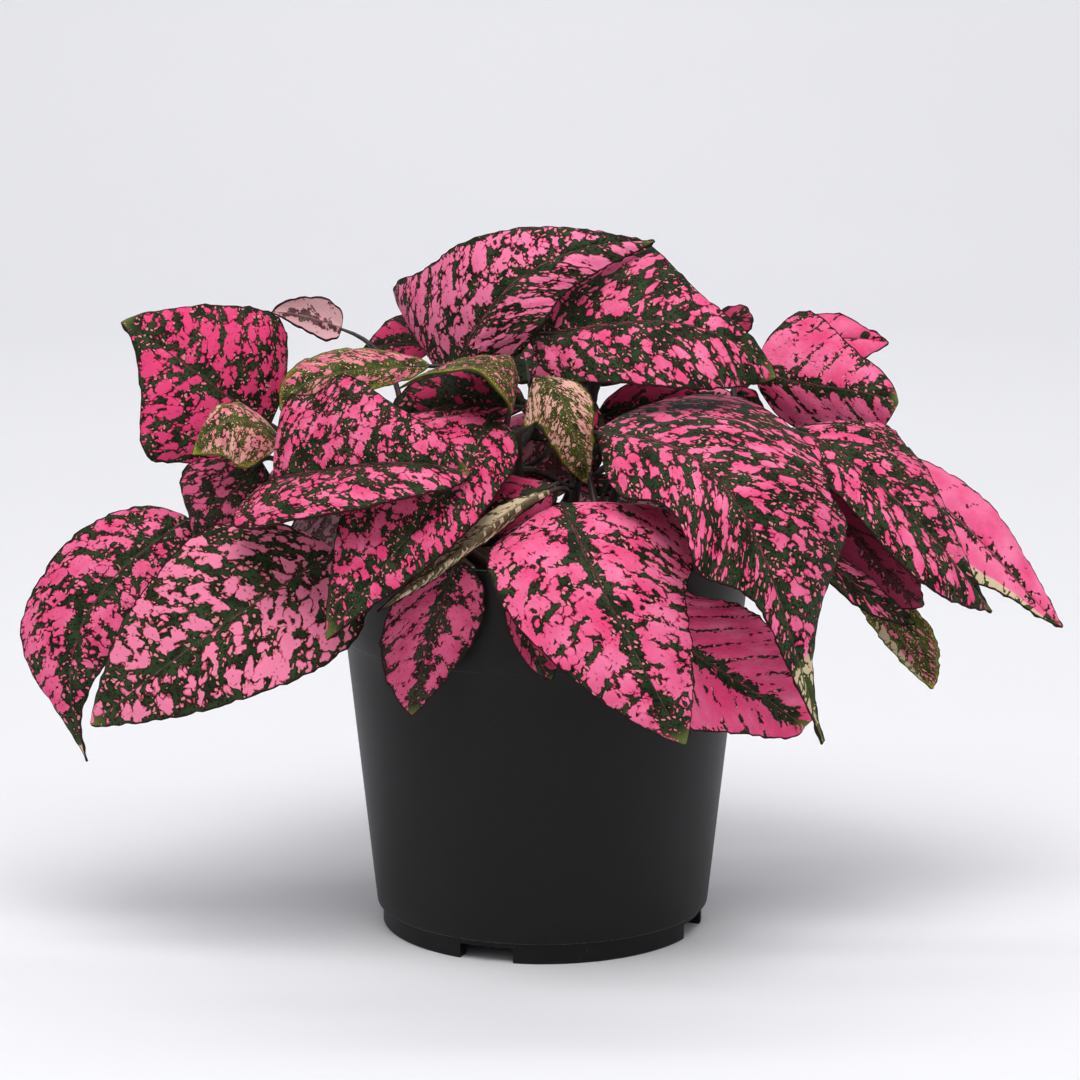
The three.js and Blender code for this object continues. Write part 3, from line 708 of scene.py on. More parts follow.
class Finish:
    def __init__(self, name):
        self.material = bpy.data.materials.new(name)
        self.material.use_nodes = True
        self.tree = self.material.node_tree
        self.shader = self.tree.nodes["Principled BSDF"]

    def node(self, kind, settings=None, **inputs):
        made = self.tree.nodes.new("ShaderNode" + kind)
        for key, value in (settings or {}).items():
            setattr(made, key, value)
        for key, value in inputs.items():
            self.set(made.inputs[key.replace("_", " ")], value)
        return made

    def set(self, socket, value):
        if isinstance(value, bpy.types.NodeSocket):
            self.tree.links.new(value, socket)
        else:
            socket.default_value = value

    def math(self, operation, *values, kind="Math"):
        made = self.node(kind, {"operation": operation})
        for socket, value in zip(made.inputs, values):
            self.set(socket, value)
        return made.outputs[0]

    def vector(self, operation, *values):
        return self.math(operation, *values, kind="VectorMath")

    def scaled(self, vector, factor):
        return self.node("VectorMath", {"operation": "SCALE"}, Vector=vector, Scale=factor).outputs[0]

    def opposite(self, share):
        return self.math("SUBTRACT", 1.0, share)

    def where(self):
        """The place on the object, in metres."""
        return self.node("TexCoord").outputs["Object"]

    def parts(self, vector):
        return self.node("SeparateXYZ", Vector=vector).outputs

    def attribute(self, name):
        return self.node("Attribute", {"attribute_name": name}).outputs["Vector"]

    def noise(self, vector, scale, detail, roughness=0.5):
        inputs = {"Vector": vector, "Scale": scale, "Detail": detail, "Roughness": roughness}
        return self.node("TexNoise", **inputs).outputs

    def cells(self, vector, scale, feature="F1"):
        settings = {"voronoi_dimensions": "2D", "feature": feature}
        return self.node("TexVoronoi", settings, Vector=vector, Scale=scale).outputs

    def step(self, value, low, high):
        """0 where the value is below low, 1 above high, and smooth between them."""
        settings = {"interpolation_type": "SMOOTHSTEP"}
        return self.node("MapRange", settings, Value=value, From_Min=low, From_Max=high).outputs[0]

    def mix(self, share, a, b):
        made = self.node("Mix", {"data_type": "RGBA"})
        self.set(made.inputs[0], share)
        self.set(made.inputs[6], a)
        self.set(made.inputs[7], b)
        return made.outputs[2]

    def bump(self, height, distance, strength):
        return self.node("Bump", Height=height, Strength=strength, Distance=distance).outputs[0]

    def shade(self, **sockets):
        for key, value in sockets.items():
            self.set(self.shader.inputs[key.replace("_", " ")], value)
        return self.material


# The face of a leaf is painted from three attributes of its mesh. The attribute pattern is in
# millimetres, x along a side vein and y across the veins. The attribute place holds the
# distance from the midrib, t, and the distance from the edge. The attribute veins holds the
# place between the side veins, how light the pink is, and how pink the leaf is. How light the
# pink is stands partly for the leaf's own tone and partly for painted light: lit leaves get the
# paler pink, and leaves in shade the deeper one.


def spots(f, where, cell, widest, share, shift=None):
    """How far inside a field of round spots each place lies, in millimetres."""
    if shift:
        where = f.vector("ADD", where, shift)
    found = f.cells(f.scaled(where, 1 / cell), 1.0)
    radius = f.math("MULTIPLY", f.step(f.parts(found["Color"])[0], 1 - share, 1.0), widest)
    return f.math("MULTIPLY_ADD", found["Distance"], -cell, radius)


def leaf_face(
    name, ground_deep, ground, ground_light, fringe, blotch, blotch_light, dot, tip, edge, vein, rim,
):
    f = Finish(name)
    pattern = f.attribute("pattern")
    from_rib, t, from_edge = f.parts(f.attribute("place"))
    vein_place, lightness, pinkness = f.parts(f.attribute("veins"))
    half = (0.5, 0.5, 0.5)
    wander = f.vector("SUBTRACT", f.noise(pattern, 0.3, 1.0)["Color"], half)
    jitter = f.vector("SUBTRACT", f.noise(pattern, 1.0, 1.0)["Color"], half)
    shaken = f.vector("ADD", pattern, f.scaled(wander, WANDER))
    shaken = f.vector("ADD", shaken, f.scaled(jitter, JITTER))
    long_spots = f.vector("MULTIPLY", shaken, SPOT_STRETCH)
    large = spots(f, long_spots, *LARGE_SPOTS)
    medium = spots(f, long_spots, *MEDIUM_SPOTS)
    small = spots(f, shaken, *SMALL_DOTS)
    depth = f.math("SMOOTH_MAX", large, medium, 0.15)
    # Green lies thicker on the midrib, the side veins, the edge and the tip
    uneven = f.noise(pattern, 0.35, 2.0)[0]
    ragged = f.math("SUBTRACT", f.noise(pattern, 1.0, 2.0)[0], 0.5)
    off_vein = f.math("ABSOLUTE", f.math("SUBTRACT", f.math("FRACT", vein_place), 0.5))
    vein_reach = f.math("MULTIPLY_ADD", ragged, 0.5, off_vein)
    near_vein = f.math("MULTIPLY", f.step(vein_reach, 0.3, 0.55), f.step(uneven, 0.3, 0.5))
    rib_reach = f.math("MULTIPLY_ADD", ragged, 5.0, from_rib)
    near_rib = f.opposite(f.step(rib_reach, 0.4, f.math("MULTIPLY_ADD", uneven, 6.0, 1.2)))
    edge_reach = f.math("MULTIPLY_ADD", ragged, 4.0, from_edge)
    near_edge = f.opposite(f.step(edge_reach, 0.2, 2.4))
    near_tip = f.step(t, 0.9, 1.0)
    greener = f.math("MAXIMUM", near_rib, f.math("MULTIPLY", near_vein, VEIN_GREEN))
    greener = f.math("MAXIMUM", greener, f.math("MULTIPLY", near_edge, MARGIN_GREEN))
    greener = f.math("MAXIMUM", greener, f.math("MULTIPLY", near_tip, TIP_GREEN))
    cream = f.step(lightness, *CREAM_STEP)
    greener = f.math("MULTIPLY", greener, f.math("MULTIPLY_ADD", cream, -0.55, 1.0))
    pinker = f.math("MULTIPLY", f.math("SUBTRACT", pinkness, 0.5), 3.6)
    weight = f.math("MULTIPLY_ADD", f.math("MINIMUM", pinker, 1.3), 1.2, 1.1)
    more = f.math("MULTIPLY_ADD", uneven, 0.6, pinker)
    more = f.math("SUBTRACT", more, f.math("MULTIPLY", greener, weight))
    depth = f.math("ADD", depth, more)
    # Specks of green lie on the pink, except on the pinkest leaves, and dots of pink on the green
    specks = spots(f, shaken, *SPECKS)
    clear = f.math("MAXIMUM", f.math("SUBTRACT", pinker, 1.4), 0.0)
    depth = f.math("MINIMUM", depth, f.math("SUBTRACT", clear, specks))
    dotted = f.math("SUBTRACT", small, f.math("MAXIMUM", depth, 0.0))
    depth = f.math("MAXIMUM", depth, small)
    pink = f.step(depth, -0.04, 0.04)
    cloud = f.noise(pattern, 0.12, 3.0)[0]
    speckle = f.noise(pattern, 2.2, 3.0)[0]
    green = f.mix(f.step(cloud, 0.35, 0.6), ground, ground_light)
    green = f.mix(f.math("MULTIPLY", near_edge, rim), green, tip)
    green = f.mix(f.step(depth, -0.5, 0.0), green, ground_deep)
    green = f.mix(f.step(t, 0.93, 1.0), green, tip)
    green = f.mix(f.math("MULTIPLY", cream, 0.4), green, OLIVE)
    # The pink turns paler where the cloud and the lightness are high: partly the leaf's own tone and partly
    # painted light
    rose = f.mix(f.step(f.math("ADD", cloud, lightness), 0.7, 1.3), blotch, blotch_light)
    rose = f.mix(f.opposite(f.step(depth, 0.0, 0.35)), rose, fringe)
    rose = f.mix(f.step(dotted, 0.0, 0.1), rose, dot)
    rose = f.mix(cream, rose, CREAM)
    painted = f.mix(pink, green, rose)
    rib_line = f.opposite(f.step(from_rib, 0.1, 0.28))
    painted = f.mix(f.math("MULTIPLY", rib_line, f.step(uneven, 0.35, 1.0)), painted, vein)
    painted = f.mix(f.opposite(f.step(from_edge, 0.3, 0.6)), painted, edge)
    # The skin is cut up by a net of fine veins
    net = f.cells(f.vector("MULTIPLY", shaken, (1.0, 1.3, 1.0)), 0.9, "DISTANCE_TO_EDGE")[0]
    height = f.math("ADD", f.step(net, 0.0, 0.22), f.math("MULTIPLY", speckle, 0.35))
    return f.shade(
        Base_Color=painted,
        Roughness=f.math("MULTIPLY_ADD", speckle, 0.2, 0.42),
        Normal=f.bump(height, 0.00008, 0.8),
        Specular_IOR_Level=0.07,
    )


def skin(name, dark, light, roughness, scale):
    """The finish of stalks and stems: streaked and faintly ribbed."""
    f = Finish(name)
    where = f.where()
    streaks = f.noise(f.vector("MULTIPLY", where, (1.0, 1.0, 0.3)), scale, 4.0)[0]
    grain = f.noise(where, 4 * scale, 2.0)[0]
    return f.shade(
        Base_Color=f.mix(f.step(streaks, 0.35, 0.7), dark, light),
        Roughness=f.math("MULTIPLY_ADD", grain, 0.2, roughness),
        Normal=f.bump(f.math("ADD", streaks, grain), 0.0002, 0.5),
    )


def pot_finish():
    f = Finish("pot_plastic")
    where = f.where()
    cloud = f.noise(where, 30.0, 3.0)[0]
    pebble = f.noise(where, 2200.0, 2.0)[0]
    dust = f.noise(where, 700.0, 4.0, 0.7)[0]
    scuff = f.step(f.noise(f.vector("MULTIPLY", where, (1.0, 1.0, 8.0)), 60.0, 4.0, 0.65)[0], 0.62, 0.8)
    low = f.opposite(f.step(f.parts(where)[2], 0.0, 0.012))
    specks = f.math("MULTIPLY", f.step(dust, 0.66, 0.74), f.math("MULTIPLY_ADD", low, 0.35, 0.04))
    off_seam = f.math("ABSOLUTE", f.math("SUBTRACT", f.parts(where)[2], FOOT_HEIGHT * MM))
    seam = f.opposite(f.step(off_seam, 0.00005, 0.0003))
    specks = f.math("MAXIMUM", specks, f.math("MULTIPLY", seam, f.step(dust, 0.35, 0.65)))
    black = f.mix(cloud, colour("101011"), colour("151516"))
    worn = f.mix(f.math("MULTIPLY", scuff, 0.2), black, colour("26262a"))
    return f.shade(
        Base_Color=f.mix(specks, worn, colour("8d8a86")),
        Roughness=f.math("MULTIPLY_ADD", cloud, 0.1, 0.42),
        Normal=f.bump(f.math("ADD", pebble, f.math("MULTIPLY", cloud, 0.5)), 0.00004, 0.5),
        Specular_IOR_Level=0.2,
    )


def soil_finish():
    f = Finish("potting_mix")
    where = f.where()
    kind, bright, _ = f.parts(f.attribute("grain"))
    fibre = f.noise(where, 900.0, 4.0, 0.65)[0]
    crumb = f.noise(where, 2600.0, 3.0, 0.6)[0]
    brown = f.mix(bright, colour("22160f"), colour("4a3424"))
    brown = f.mix(f.math("MULTIPLY", fibre, 0.5), brown, colour("6a4d36"))
    chip = f.mix(f.step(kind, 0.9, 0.92), brown, colour("7a5a3e"))
    pearl = f.mix(f.step(kind, 0.965, 0.97), chip, colour("d8d2c4"))
    return f.shade(
        Base_Color=pearl,
        Roughness=0.95,
        Normal=f.bump(f.math("ADD", fibre, crumb), 0.0005, 0.8),
    )


# The stems, and the places where stalks leave them


def stem_path(stem):
    _, root, points = stem
    foot = np.array([*root, STEM_FOOT], float)
    collar = np.array([*root, STEM_COLLAR], float)
    rise = foot + (collar - foot) * np.linspace(0, 1, STEM_RISE_STEPS, endpoint=False)[:, None]
    bend = curve_through([collar, *points])
    return spaced_evenly(np.concatenate([rise, bend]), STEM_STEPS)


STEM_PATHS = {name: stem_path(stem) for name, stem in STEMS.items()}


def stem_place(name, at):
    """A place on a stem's middle line, and its direction there."""
    path = STEM_PATHS[name]
    shares = np.linspace(0, 1, len(path))
    directions = unit(np.gradient(path, axis=0))
    return between_places(at, shares, path), unit(between_places(at, shares, directions))


def add_stem(name, finish):
    path = STEM_PATHS[name]
    share = np.linspace(0, 1, len(path))
    radii = STEMS[name][0] * (1 - STEM_TAPER * share ** 2)
    for leaf in LEAVES.values():
        if leaf["stem"] == name:
            radii = radii + KNOT_SWELL * bell((share - leaf["at"]) / (2 * KNOT_LENGTH))
    places, faces = tube(path, radii, STEM_SIDES)
    made = piece(f"stalk_{name}", places, faces)
    made.data.materials.append(finish)
    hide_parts(f"stem_{name}")


# The leaves


def stalk_path(leaf, end, down):
    """From inside the stem, under the blade's heel and on to the place end on the midrib."""
    root, axis = stem_place(leaf["stem"], leaf["at"])
    heel = np.array(leaf["rib"][0], float)
    out = heel - root
    out = unit(out - axis * (out @ axis))
    foot = root + out * STEMS[leaf["stem"]][0]
    start = heel + down * STALK_SINK
    reach = STALK_REACH * np.linalg.norm(heel - foot)
    into = rib_direction(leaf["rib"], 0.0)
    share = np.linspace(0, 1, STALK_BEND_STEPS)
    bend = bezier(foot, foot + out * reach, start - into * reach, start, share)
    path = np.concatenate([[root + out * STALK_ROOT], bend, [end + down * STALK_SINK]])
    return spaced_evenly(path, STALK_STEPS)


def relief(veins, along, from_rib, from_edge, half, ends):
    """How far the blade puffs up between its veins, how deep its upper groove is over the
    midrib, and how high its ridges stand under the midrib and the side veins."""
    between = np.abs(np.sin(math.pi * veins))
    open_part = smoothstep(*FLAT_AT_RIB, from_rib) * smoothstep(*FLAT_AT_EDGE, from_edge) * ends
    puff = PUFF * min(half / PUFF_WIDTH, 1) * (between ** PUFF_ROUNDNESS - PUFF_LEVEL) * open_part
    groove = GROOVE_DEPTH * bell(from_rib / GROOVE_WIDTH) * ends
    ridge = RIDGE_HEIGHT * (1 - along) ** RIDGE_TAPER * bell(from_rib / RIDGE_WIDTH) * ends
    ridge = ridge + VEIN_RIDGE * bell(between / math.pi / VEIN_WIDTH) * open_part
    return puff[..., None], groove[..., None], ridge[..., None]


def pattern_places(along, from_rib, vein_reach, s, fine, number):
    """Where the blade's places lie in its pattern. Each half and each leaf has its own part."""
    steep = math.hypot(1, VEIN_SLOPE)
    on_vein = (VEIN_SLOPE * along + from_rib) / steep + np.where(s < 0, HALF_SHIFT, 0)[None]
    places = np.stack([on_vein, vein_reach / steep, np.zeros_like(along)], axis=-1)
    return fine * places + number * np.array(LEAF_SHIFT)


def lightness_and_pinkness(leaf, look, t, s):
    """How light and how pink the leaf is at the rows t and columns s, with its cream parts. The
    lightness is partly the leaf's own tone and partly painted light, for how much light falls on it.
    """
    side = leaf.get("pale_side", NEVER)
    tail = leaf.get("pale_tail", NEVER)
    pale = smoothstep(side, side + SIDE_BLEND, s)[None] * smoothstep(*SIDE_START, t)[:, None]
    pale = np.maximum(pale, smoothstep(tail, tail + TAIL_BLEND, t)[:, None])
    light = leaf.get("light", look["light"]) + PALE_LIGHT * pale
    return light, leaf.get("pink", look["pink"]) * (1 - pale) + PALE_PINK * pale


def sharpen(mesh, border, layer):
    """Marks the edges round the border of both faces of a blade as sharp."""
    on_border = np.zeros(len(mesh.vertices), bool)
    on_border[border] = True
    on_border[border + layer] = True
    ends = np.array([edge.vertices[:] for edge in mesh.edges])
    same_layer = (ends[:, 0] < layer) == (ends[:, 1] < layer)
    sharp = on_border[ends].all(axis=1) & same_layer
    mesh.attributes.new("sharp_edge", "BOOLEAN", "EDGE").data.foreach_set("value", sharp)


def add_leaf(name, leaf, number, faces_of, stalk_finish):
    kind = leaf.get("look", "spotted")
    look = LOOKS[kind]
    rib = rib_point(leaf["rib"], np.linspace(0, 1, RIB_SAMPLES))
    length = np.linalg.norm(np.diff(rib, axis=0), axis=1).sum()
    half = np.linalg.norm(np.array(leaf["left"], float) - leaf["right"]) / 2
    rows = max(FEWEST_ROWS, round(length / ROW_LENGTH))
    columns = 2 * max(FEWEST_COLUMNS // 2, round(half / COLUMN_WIDTH))
    share = np.linspace(0, 1, rows + 1)
    t = share - np.sin(2 * math.pi * share) / ROW_CROWDING
    x = np.linspace(-1, 1, columns + 1)
    s = x * (CENTRE_CROWDING + (1 - CENTRE_CROWDING) * np.abs(x))

    # The middle surface, and its normals, which are even across the blade at its two ends
    middle, width = blade_places(leaf, t, s)
    middle = middle + uneven_margin(middle, length * t, s, number)
    normal = unit(np.cross(np.gradient(middle, axis=1), np.gradient(middle, axis=0)))
    ends = (smoothstep(0, END_SHARE, t) * smoothstep(0, END_SHARE, 1 - t))[:, None]
    rib_normal = normal[:, columns // 2][:, None]
    normal = unit(rib_normal + (normal - rib_normal) * ends[..., None])

    # The upper and the lower face, with the relief of the veins
    along, side = np.meshgrid(t, np.abs(s), indexing="ij")
    from_rib = side * width
    from_edge = (1 - side) * width
    spacing = length / max(FEWEST_VEINS, round(length / VEIN_SPACING))
    vein_reach = along * length - VEIN_SLOPE * from_rib - VEIN_BEND * from_rib ** 2 / half
    veins = vein_reach / spacing + np.where(s < 0, 0, VEIN_STAGGER)[None]
    puff, groove, ridge = relief(veins, along, from_rib, from_edge, half, ends)
    middle = middle + normal * puff
    upper = middle + normal * (BLADE_THICKNESS / 2 - groove)
    lower = middle - normal * (BLADE_THICKNESS / 2 + ridge)

    # The mesh: upper face, lower face, the border between them, and the stalk
    layer = (rows + 1) * (columns + 1)
    border = grid_border(rows, columns)
    after = np.roll(border, -1)
    quads = [
        grid_faces(rows, columns),
        grid_faces(rows, columns, layer, flip=True),
        np.stack([border, border + layer, after + layer, after], axis=1),
    ]
    row = int(np.searchsorted(t, STALK_END))
    path = stalk_path(leaf, middle[row, columns // 2], -normal[row, columns // 2])
    radii = np.interp(np.linspace(0, 1, len(path)), STALK_SHARES, STALK_RADII)
    stalk_places, stalk_faces = tube(path, radii, STALK_SIDES, 2 * layer)
    places = np.concatenate([upper.reshape(-1, 3), lower.reshape(-1, 3), stalk_places])
    made = piece(f"blade_{name}", places, [*np.concatenate(quads).tolist(), *stalk_faces])
    mesh = made.data
    sharpen(mesh, border, layer)

    # What the finishes read
    fine = leaf.get("fine", look["fine"])
    painted = {
        "pattern": pattern_places(along * length, from_rib, vein_reach, s, fine, number),
        "place": np.stack([from_rib, along, from_edge], axis=-1),
        "veins": np.stack([veins, *lightness_and_pinkness(leaf, look, t, s)], axis=-1),
    }
    for key, values in painted.items():
        values = values.reshape(-1, 3)
        set_vectors(mesh, key, np.concatenate([values, values, np.zeros((len(stalk_places), 3))]))
    kinds = [0] * len(quads[0]) + [1] * (len(quads[1]) + len(quads[2])) + [2] * len(stalk_faces)
    mesh.polygons.foreach_set("material_index", kinds)
    for finish in (*faces_of[kind], stalk_finish):
        mesh.materials.append(finish)
    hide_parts(f"leaf_{name}")


# The pot


def outer_radius(z):
    slope = (RIM_RADIUS - BAND_STEP - BODY_BOTTOM_RADIUS) / (POT_HEIGHT - FOOT_HEIGHT)
    return BODY_BOTTOM_RADIUS + slope * (z - FOOT_HEIGHT)


def inner_radius(z):
    return outer_radius(z) - WALL


def pot_profile():
    """The pot's section, from the recess under it up the outside, over the rim and down inside.
    The small numbers ease its edges."""
    foot_inside = FOOT_RADIUS - FOOT_WALL
    rim_inside = RIM_RADIUS - RIM_WALL
    profile = [
        (foot_inside - RECESS_EDGE, RECESS_HEIGHT),
        (foot_inside, RECESS_HEIGHT - RECESS_EDGE),
        (foot_inside, FOOT_EDGE),
        (foot_inside + FOOT_EDGE, 0),
        (FOOT_RADIUS - FOOT_EDGE, 0),
        (FOOT_RADIUS, FOOT_EDGE),
        (FOOT_RADIUS, FOOT_HEIGHT - 0.2),
        (FOOT_RADIUS + SEAM_STEP, FOOT_HEIGHT),
        (BODY_BOTTOM_RADIUS - FOOT_EDGE, FOOT_HEIGHT + 0.1),
        (BODY_BOTTOM_RADIUS - 0.05, FOOT_HEIGHT + FOOT_EDGE),
        (BODY_BOTTOM_RADIUS + 0.05, FOOT_HEIGHT + EDGE),
    ]
    for z in np.linspace(12, BAND_HEIGHT, 12):
        profile.append((outer_radius(z), z))
    for share in (0.25, 0.5, 0.75, 1.0):
        z = BAND_HEIGHT + EDGE * share
        profile.append((outer_radius(z) + BAND_STEP * smoothstep(0, 1, share), z))
    for z in np.linspace(BAND_HEIGHT + 5, POT_HEIGHT - 4, 5):
        profile.append((outer_radius(z) + BAND_STEP, z))
    for angle in np.radians([0, 22.5, 45, 67.5, 90]):
        out = RIM_RADIUS - EDGE + EDGE * math.cos(angle)
        profile.append((out, POT_HEIGHT - EDGE + EDGE * math.sin(angle)))
    profile += [
        (rim_inside + EDGE / 2, POT_HEIGHT),
        (rim_inside + 0.1, POT_HEIGHT - 0.25),
        (rim_inside, POT_HEIGHT - EDGE),
        (rim_inside, POT_HEIGHT - RIM_DEPTH + 0.3),
        (rim_inside + 0.15, POT_HEIGHT - RIM_DEPTH),
        (inner_radius(SHELL_TOP), SHELL_TOP),
        (inner_radius(FLOOR_TOP + 1), FLOOR_TOP + 1),
        (inner_radius(FLOOR_TOP) - 1, FLOOR_TOP),
    ]
    return np.array(profile)


def pot_columns(profile, cut):
    """The section's turns round the pot: each one's angle, the angle of each of its places, and
    whether it lies in a notch. A pair of columns stands at each side of a notch, and the places
    that the notch cuts keep to its straight side."""
    columns = []
    half_notch = NOTCH_WIDTH / 2
    side_angle = math.degrees(math.asin(half_notch / (FOOT_RADIUS - FOOT_WALL / 2)))
    for angle in np.arange(0, 360, 360 / POT_SIDES):
        near = min(abs((angle - (notch - 90) + 180) % 360 - 180) for notch in NOTCH_ANGLES)
        if abs(near - side_angle) > COLUMN_GAP:
            columns.append((angle, np.full(len(profile), angle), near < side_angle))
    radii = np.maximum(profile[:, 0], FOOT_RADIUS - FOOT_WALL)
    around = np.where(cut, np.degrees(np.arcsin(half_notch / radii)), side_angle)
    for notch in NOTCH_ANGLES:
        for side in (-1, 1):
            for gap, opened in ((-NOTCH_GAP, True), (NOTCH_GAP, False)):
                angle = (notch - 90 + side * (side_angle + gap)) % 360
                columns.append((angle, notch - 90 + side * (around + gap), opened))
    return sorted(columns, key=lambda column: column[0])


def drill_drains(made):
    """Cuts the drain holes through the pot's floor."""
    places = np.zeros((0, 3))
    faces = []
    for notch in NOTCH_ANGLES:
        around = math.radians(notch - 90)
        middle = [DRAIN_CIRCLE * math.cos(around), DRAIN_CIRCLE * math.sin(around), FLOOR_TOP - 1]
        ends = middle + np.outer([-0.5, 0.5], [0, 0, DRAIN_DEPTH])
        hole, hole_faces = tube(ends, np.full(2, DRAIN_RADIUS), DRAIN_SIDES, len(places))
        places = np.concatenate([places, hole])
        faces += hole_faces
    drill = add_mesh("drill", places, faces)
    cutter = made.modifiers.new("drains", "BOOLEAN")
    cutter.operation = "DIFFERENCE"
    cutter.solver = "EXACT"
    cutter.object = drill
    evaluated = made.evaluated_get(bpy.context.evaluated_depsgraph_get())
    drilled = bpy.data.meshes.new_from_object(evaluated)
    made.modifiers.clear()
    made.data = drilled
    bpy.data.objects.remove(drill)


def add_pot():
    profile = pot_profile()
    cut = profile[:, 1] < RECESS_HEIGHT
    columns = pot_columns(profile, cut)
    rows = len(profile)
    turns = len(columns)
    places = []
    for _, angles, opened in columns:
        around = np.radians(angles)
        z = profile[:, 1].copy()
        if opened:
            # The cut places lie nearly level, and no two of them share one spot
            z[cut] = RECESS_HEIGHT - RECESS_SLOPE * np.arange(cut.sum())[::-1] / cut.sum()
        places.append(np.stack([profile[:, 0] * np.cos(around), profile[:, 0] * np.sin(around), z], axis=1))
    places = np.concatenate([*places, [[0, 0, RECESS_HEIGHT], [0, 0, FLOOR_TOP]]])
    faces = []
    for i in range(turns):
        k = (i + 1) % turns
        for j in range(rows - 1):
            faces.append([i * rows + j, k * rows + j, k * rows + j + 1, i * rows + j + 1])
        faces.append([turns * rows, k * rows, i * rows])
        faces.append([turns * rows + 1, i * rows + rows - 1, k * rows + rows - 1])
    made = piece("nursery_pot", places, faces)
    drill_drains(made)
    made.data.set_sharp_from_angle(angle=math.radians(POT_SHARP_ANGLE))
    made.data.materials.clear()
    made.data.materials.append(pot_finish())
    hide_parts("pot")


# The soil: crumbs, chips of bark and white grains, heaped in the pot


def heap_grains(x, y, ground, radius):
    """The height of the soil with its grains, and what the finish reads of each grain."""
    random = np.random.default_rng(SOIL_SEED)
    z = ground - SOIL_BED
    grain = np.zeros(x.shape + (3,))
    for _ in range(GRAIN_COUNT):
        angle = random.uniform(0, 2 * math.pi)
        distance = (radius - 1) * math.sqrt(random.random())
        size = random.uniform(*GRAIN_SIZES) * random.uniform(*GRAIN_SHARES)
        longer = random.uniform(*GRAIN_LENGTHS)
        turn = random.uniform(0, math.pi)
        kind, bright = random.random(2)
        dx = x - distance * math.cos(angle)
        dy = y - distance * math.sin(angle)
        near = (np.abs(dx) < 2 * size) & (np.abs(dy) < 2 * size)
        u = (dx[near] * math.cos(turn) + dy[near] * math.sin(turn)) / (size * longer)
        v = (dy[near] * math.cos(turn) - dx[near] * math.sin(turn)) / size
        dome = 1 - (u * u + v * v)
        top = ground[near] - GRAIN_SINK + GRAIN_HEIGHT * size * np.sqrt(np.maximum(dome, 0))
        taller = (dome > 0) & (top > z[near])
        z[near] = np.where(taller, top, z[near])
        grain[near] = np.where(taller[:, None], (kind, bright, 0), grain[near])
    return z, grain.reshape(-1, 3)


def add_soil():
    # A square grid, bent so that its border is a circle
    a, b = np.meshgrid(*[np.linspace(-1, 1, SOIL_GRID + 1)] * 2)
    wide = np.abs(a) > np.abs(b)
    safe_a = np.where(a == 0, 1, a)
    safe_b = np.where(b == 0, 1, b)
    around = np.where(wide, math.pi / 4 * b / safe_a, math.pi / 2 - math.pi / 4 * a / safe_b)
    share = np.where(wide, a, b)
    radius = inner_radius(SOIL_TOP) - SOIL_GAP
    x = radius * share * np.cos(around)
    y = radius * share * np.sin(around)
    out = np.hypot(x, y) / radius
    uneven = SOIL_WAVE * np.sin(SOIL_TURNS[0] * x + 1) * np.cos(SOIL_TURNS[1] * y)
    ground = SOIL_TOP + SOIL_RISE * (1 - out ** 2) + uneven
    z, grain = heap_grains(x, y, ground, radius)
    z = np.where(out > SOIL_EVEN_FROM, np.minimum(z, ground), z)
    layer = (SOIL_GRID + 1) ** 2
    border = grid_border(SOIL_GRID, SOIL_GRID)
    top = np.stack([x, y, z], axis=-1).reshape(-1, 3)
    narrow = (inner_radius(SOIL_BOTTOM) - SOIL_GAP) / radius
    low = top[border] * [narrow, narrow, 0] + [0, 0, SOIL_BOTTOM]
    foot = layer + np.arange(len(border))
    walls = np.stack([border, foot, np.roll(foot, -1), np.roll(border, -1)], axis=1)
    faces = [*grid_faces(SOIL_GRID, SOIL_GRID).tolist(), *walls.tolist(), foot[::-1].tolist()]
    made = piece("potting_soil", np.concatenate([top, low]), faces)
    set_vectors(made.data, "grain", np.concatenate([grain, np.zeros((len(low), 3))]))
    made.data.set_sharp_from_angle(angle=math.radians(SOIL_SHARP_ANGLE))
    made.data.materials.append(soil_finish())
    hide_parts("soil")


# The floor, the light and the camera


def add_floor():
    """A pale sheet that runs back and then curves up behind the plant."""
    outline = [(y, 0) for y in (SHEET_FRONT, *np.linspace(SHEET_FRONT + 500, SHEET_BEND, 12))]
    for angle in np.radians(np.arange(7.5, 91, 7.5)):
        back = SHEET_BEND + SHEET_BEND_RADIUS * math.sin(angle)
        outline.append((back, SHEET_BEND_RADIUS * (1 - math.cos(angle))))
    outline += [(back, z) for z in np.linspace(SHEET_BEND_RADIUS + 300, SHEET_TOP, 8)]
    places = [(x, y, z) for y, z in outline for x in (-SHEET_SIDE, SHEET_SIDE)]
    faces = [[2 * i, 2 * i + 1, 2 * i + 3, 2 * i + 2] for i in range(len(outline) - 1)]
    floor = add_mesh("pale_floor", places, faces)
    f = Finish("pale_paper")
    grain = f.noise(f.where(), 3.0, 2.0)[0]
    floor.data.materials.append(f.shade(
        Base_Color=f.mix(grain, colour("f0f0f3"), colour("f3f3f6")),
        Roughness=0.8,
        Specular_IOR_Level=0.1,
    ))


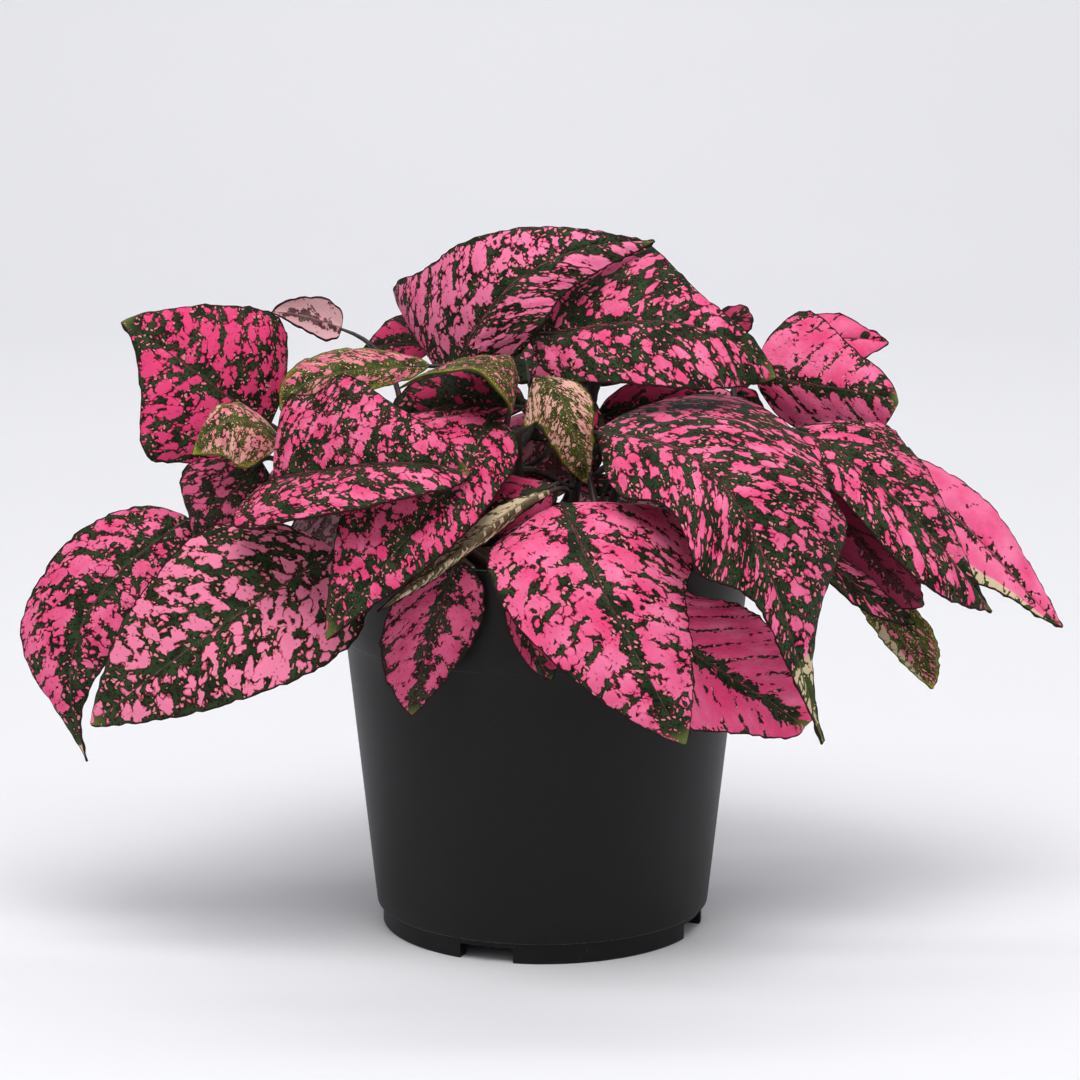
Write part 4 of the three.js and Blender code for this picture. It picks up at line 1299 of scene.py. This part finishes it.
def add_lamp(name, place, target, size, power):
    lamp = bpy.data.lights.new(name, "AREA")
    lamp.shape = "RECTANGLE"
    lamp.size, lamp.size_y = size
    lamp.energy = power
    made = add_object(name, lamp)
    made.location = place
    made.rotation_euler = (Vector(target) - Vector(place)).to_track_quat("-Z", "Y").to_euler()


def add_camera():
    lens = bpy.data.cameras.new("camera")
    lens.lens = CAMERA_LENS
    lens.sensor_width = CAMERA_SENSOR
    lens.clip_start = CAMERA_CLIP
    made = add_object("camera", lens)
    made.location = Vector(CAMERA_PLACE) * MM
    made.rotation_euler = (math.radians(90 - CAMERA_PITCH), 0, 0)
    bpy.context.scene.camera = made


def add_daylight():
    bpy.context.scene.view_settings.view_transform = "Standard"
    world = bpy.data.worlds.new("daylight")
    world.use_nodes = True
    backdrop = world.node_tree.nodes["Background"]
    backdrop.inputs["Color"].default_value = colour("f2f3f8")
    backdrop.inputs["Strength"].default_value = WORLD_STRENGTH
    bpy.context.scene.world = world
    for name, lamp in LAMPS.items():
        add_lamp(name, *lamp)


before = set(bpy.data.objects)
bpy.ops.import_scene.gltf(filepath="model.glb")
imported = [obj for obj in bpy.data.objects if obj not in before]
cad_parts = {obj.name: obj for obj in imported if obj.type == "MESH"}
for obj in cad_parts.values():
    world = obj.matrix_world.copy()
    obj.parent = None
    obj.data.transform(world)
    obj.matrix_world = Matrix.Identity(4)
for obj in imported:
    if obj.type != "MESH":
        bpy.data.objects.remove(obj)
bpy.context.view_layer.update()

add_camera()
add_floor()
add_daylight()

LEAF_FACES = {
    kind: [leaf_face(f"leaf_{kind}_{face}", **look[face]) for face in ("upper", "under")]
    for kind, look in LOOKS.items()
}
STALK_FINISH = skin("leaf_stalk", colour("1d1516"), colour("40302a"), 0.4, 500.0)
STEM_FINISH = skin("woody_stem", colour("1f1615"), colour("40302a"), 0.5, 350.0)

for number, (name, leaf) in enumerate(LEAVES.items()):
    add_leaf(name, leaf, number, LEAF_FACES, STALK_FINISH)
for name in STEMS:
    add_stem(name, STEM_FINISH)
add_pot()
add_soil()
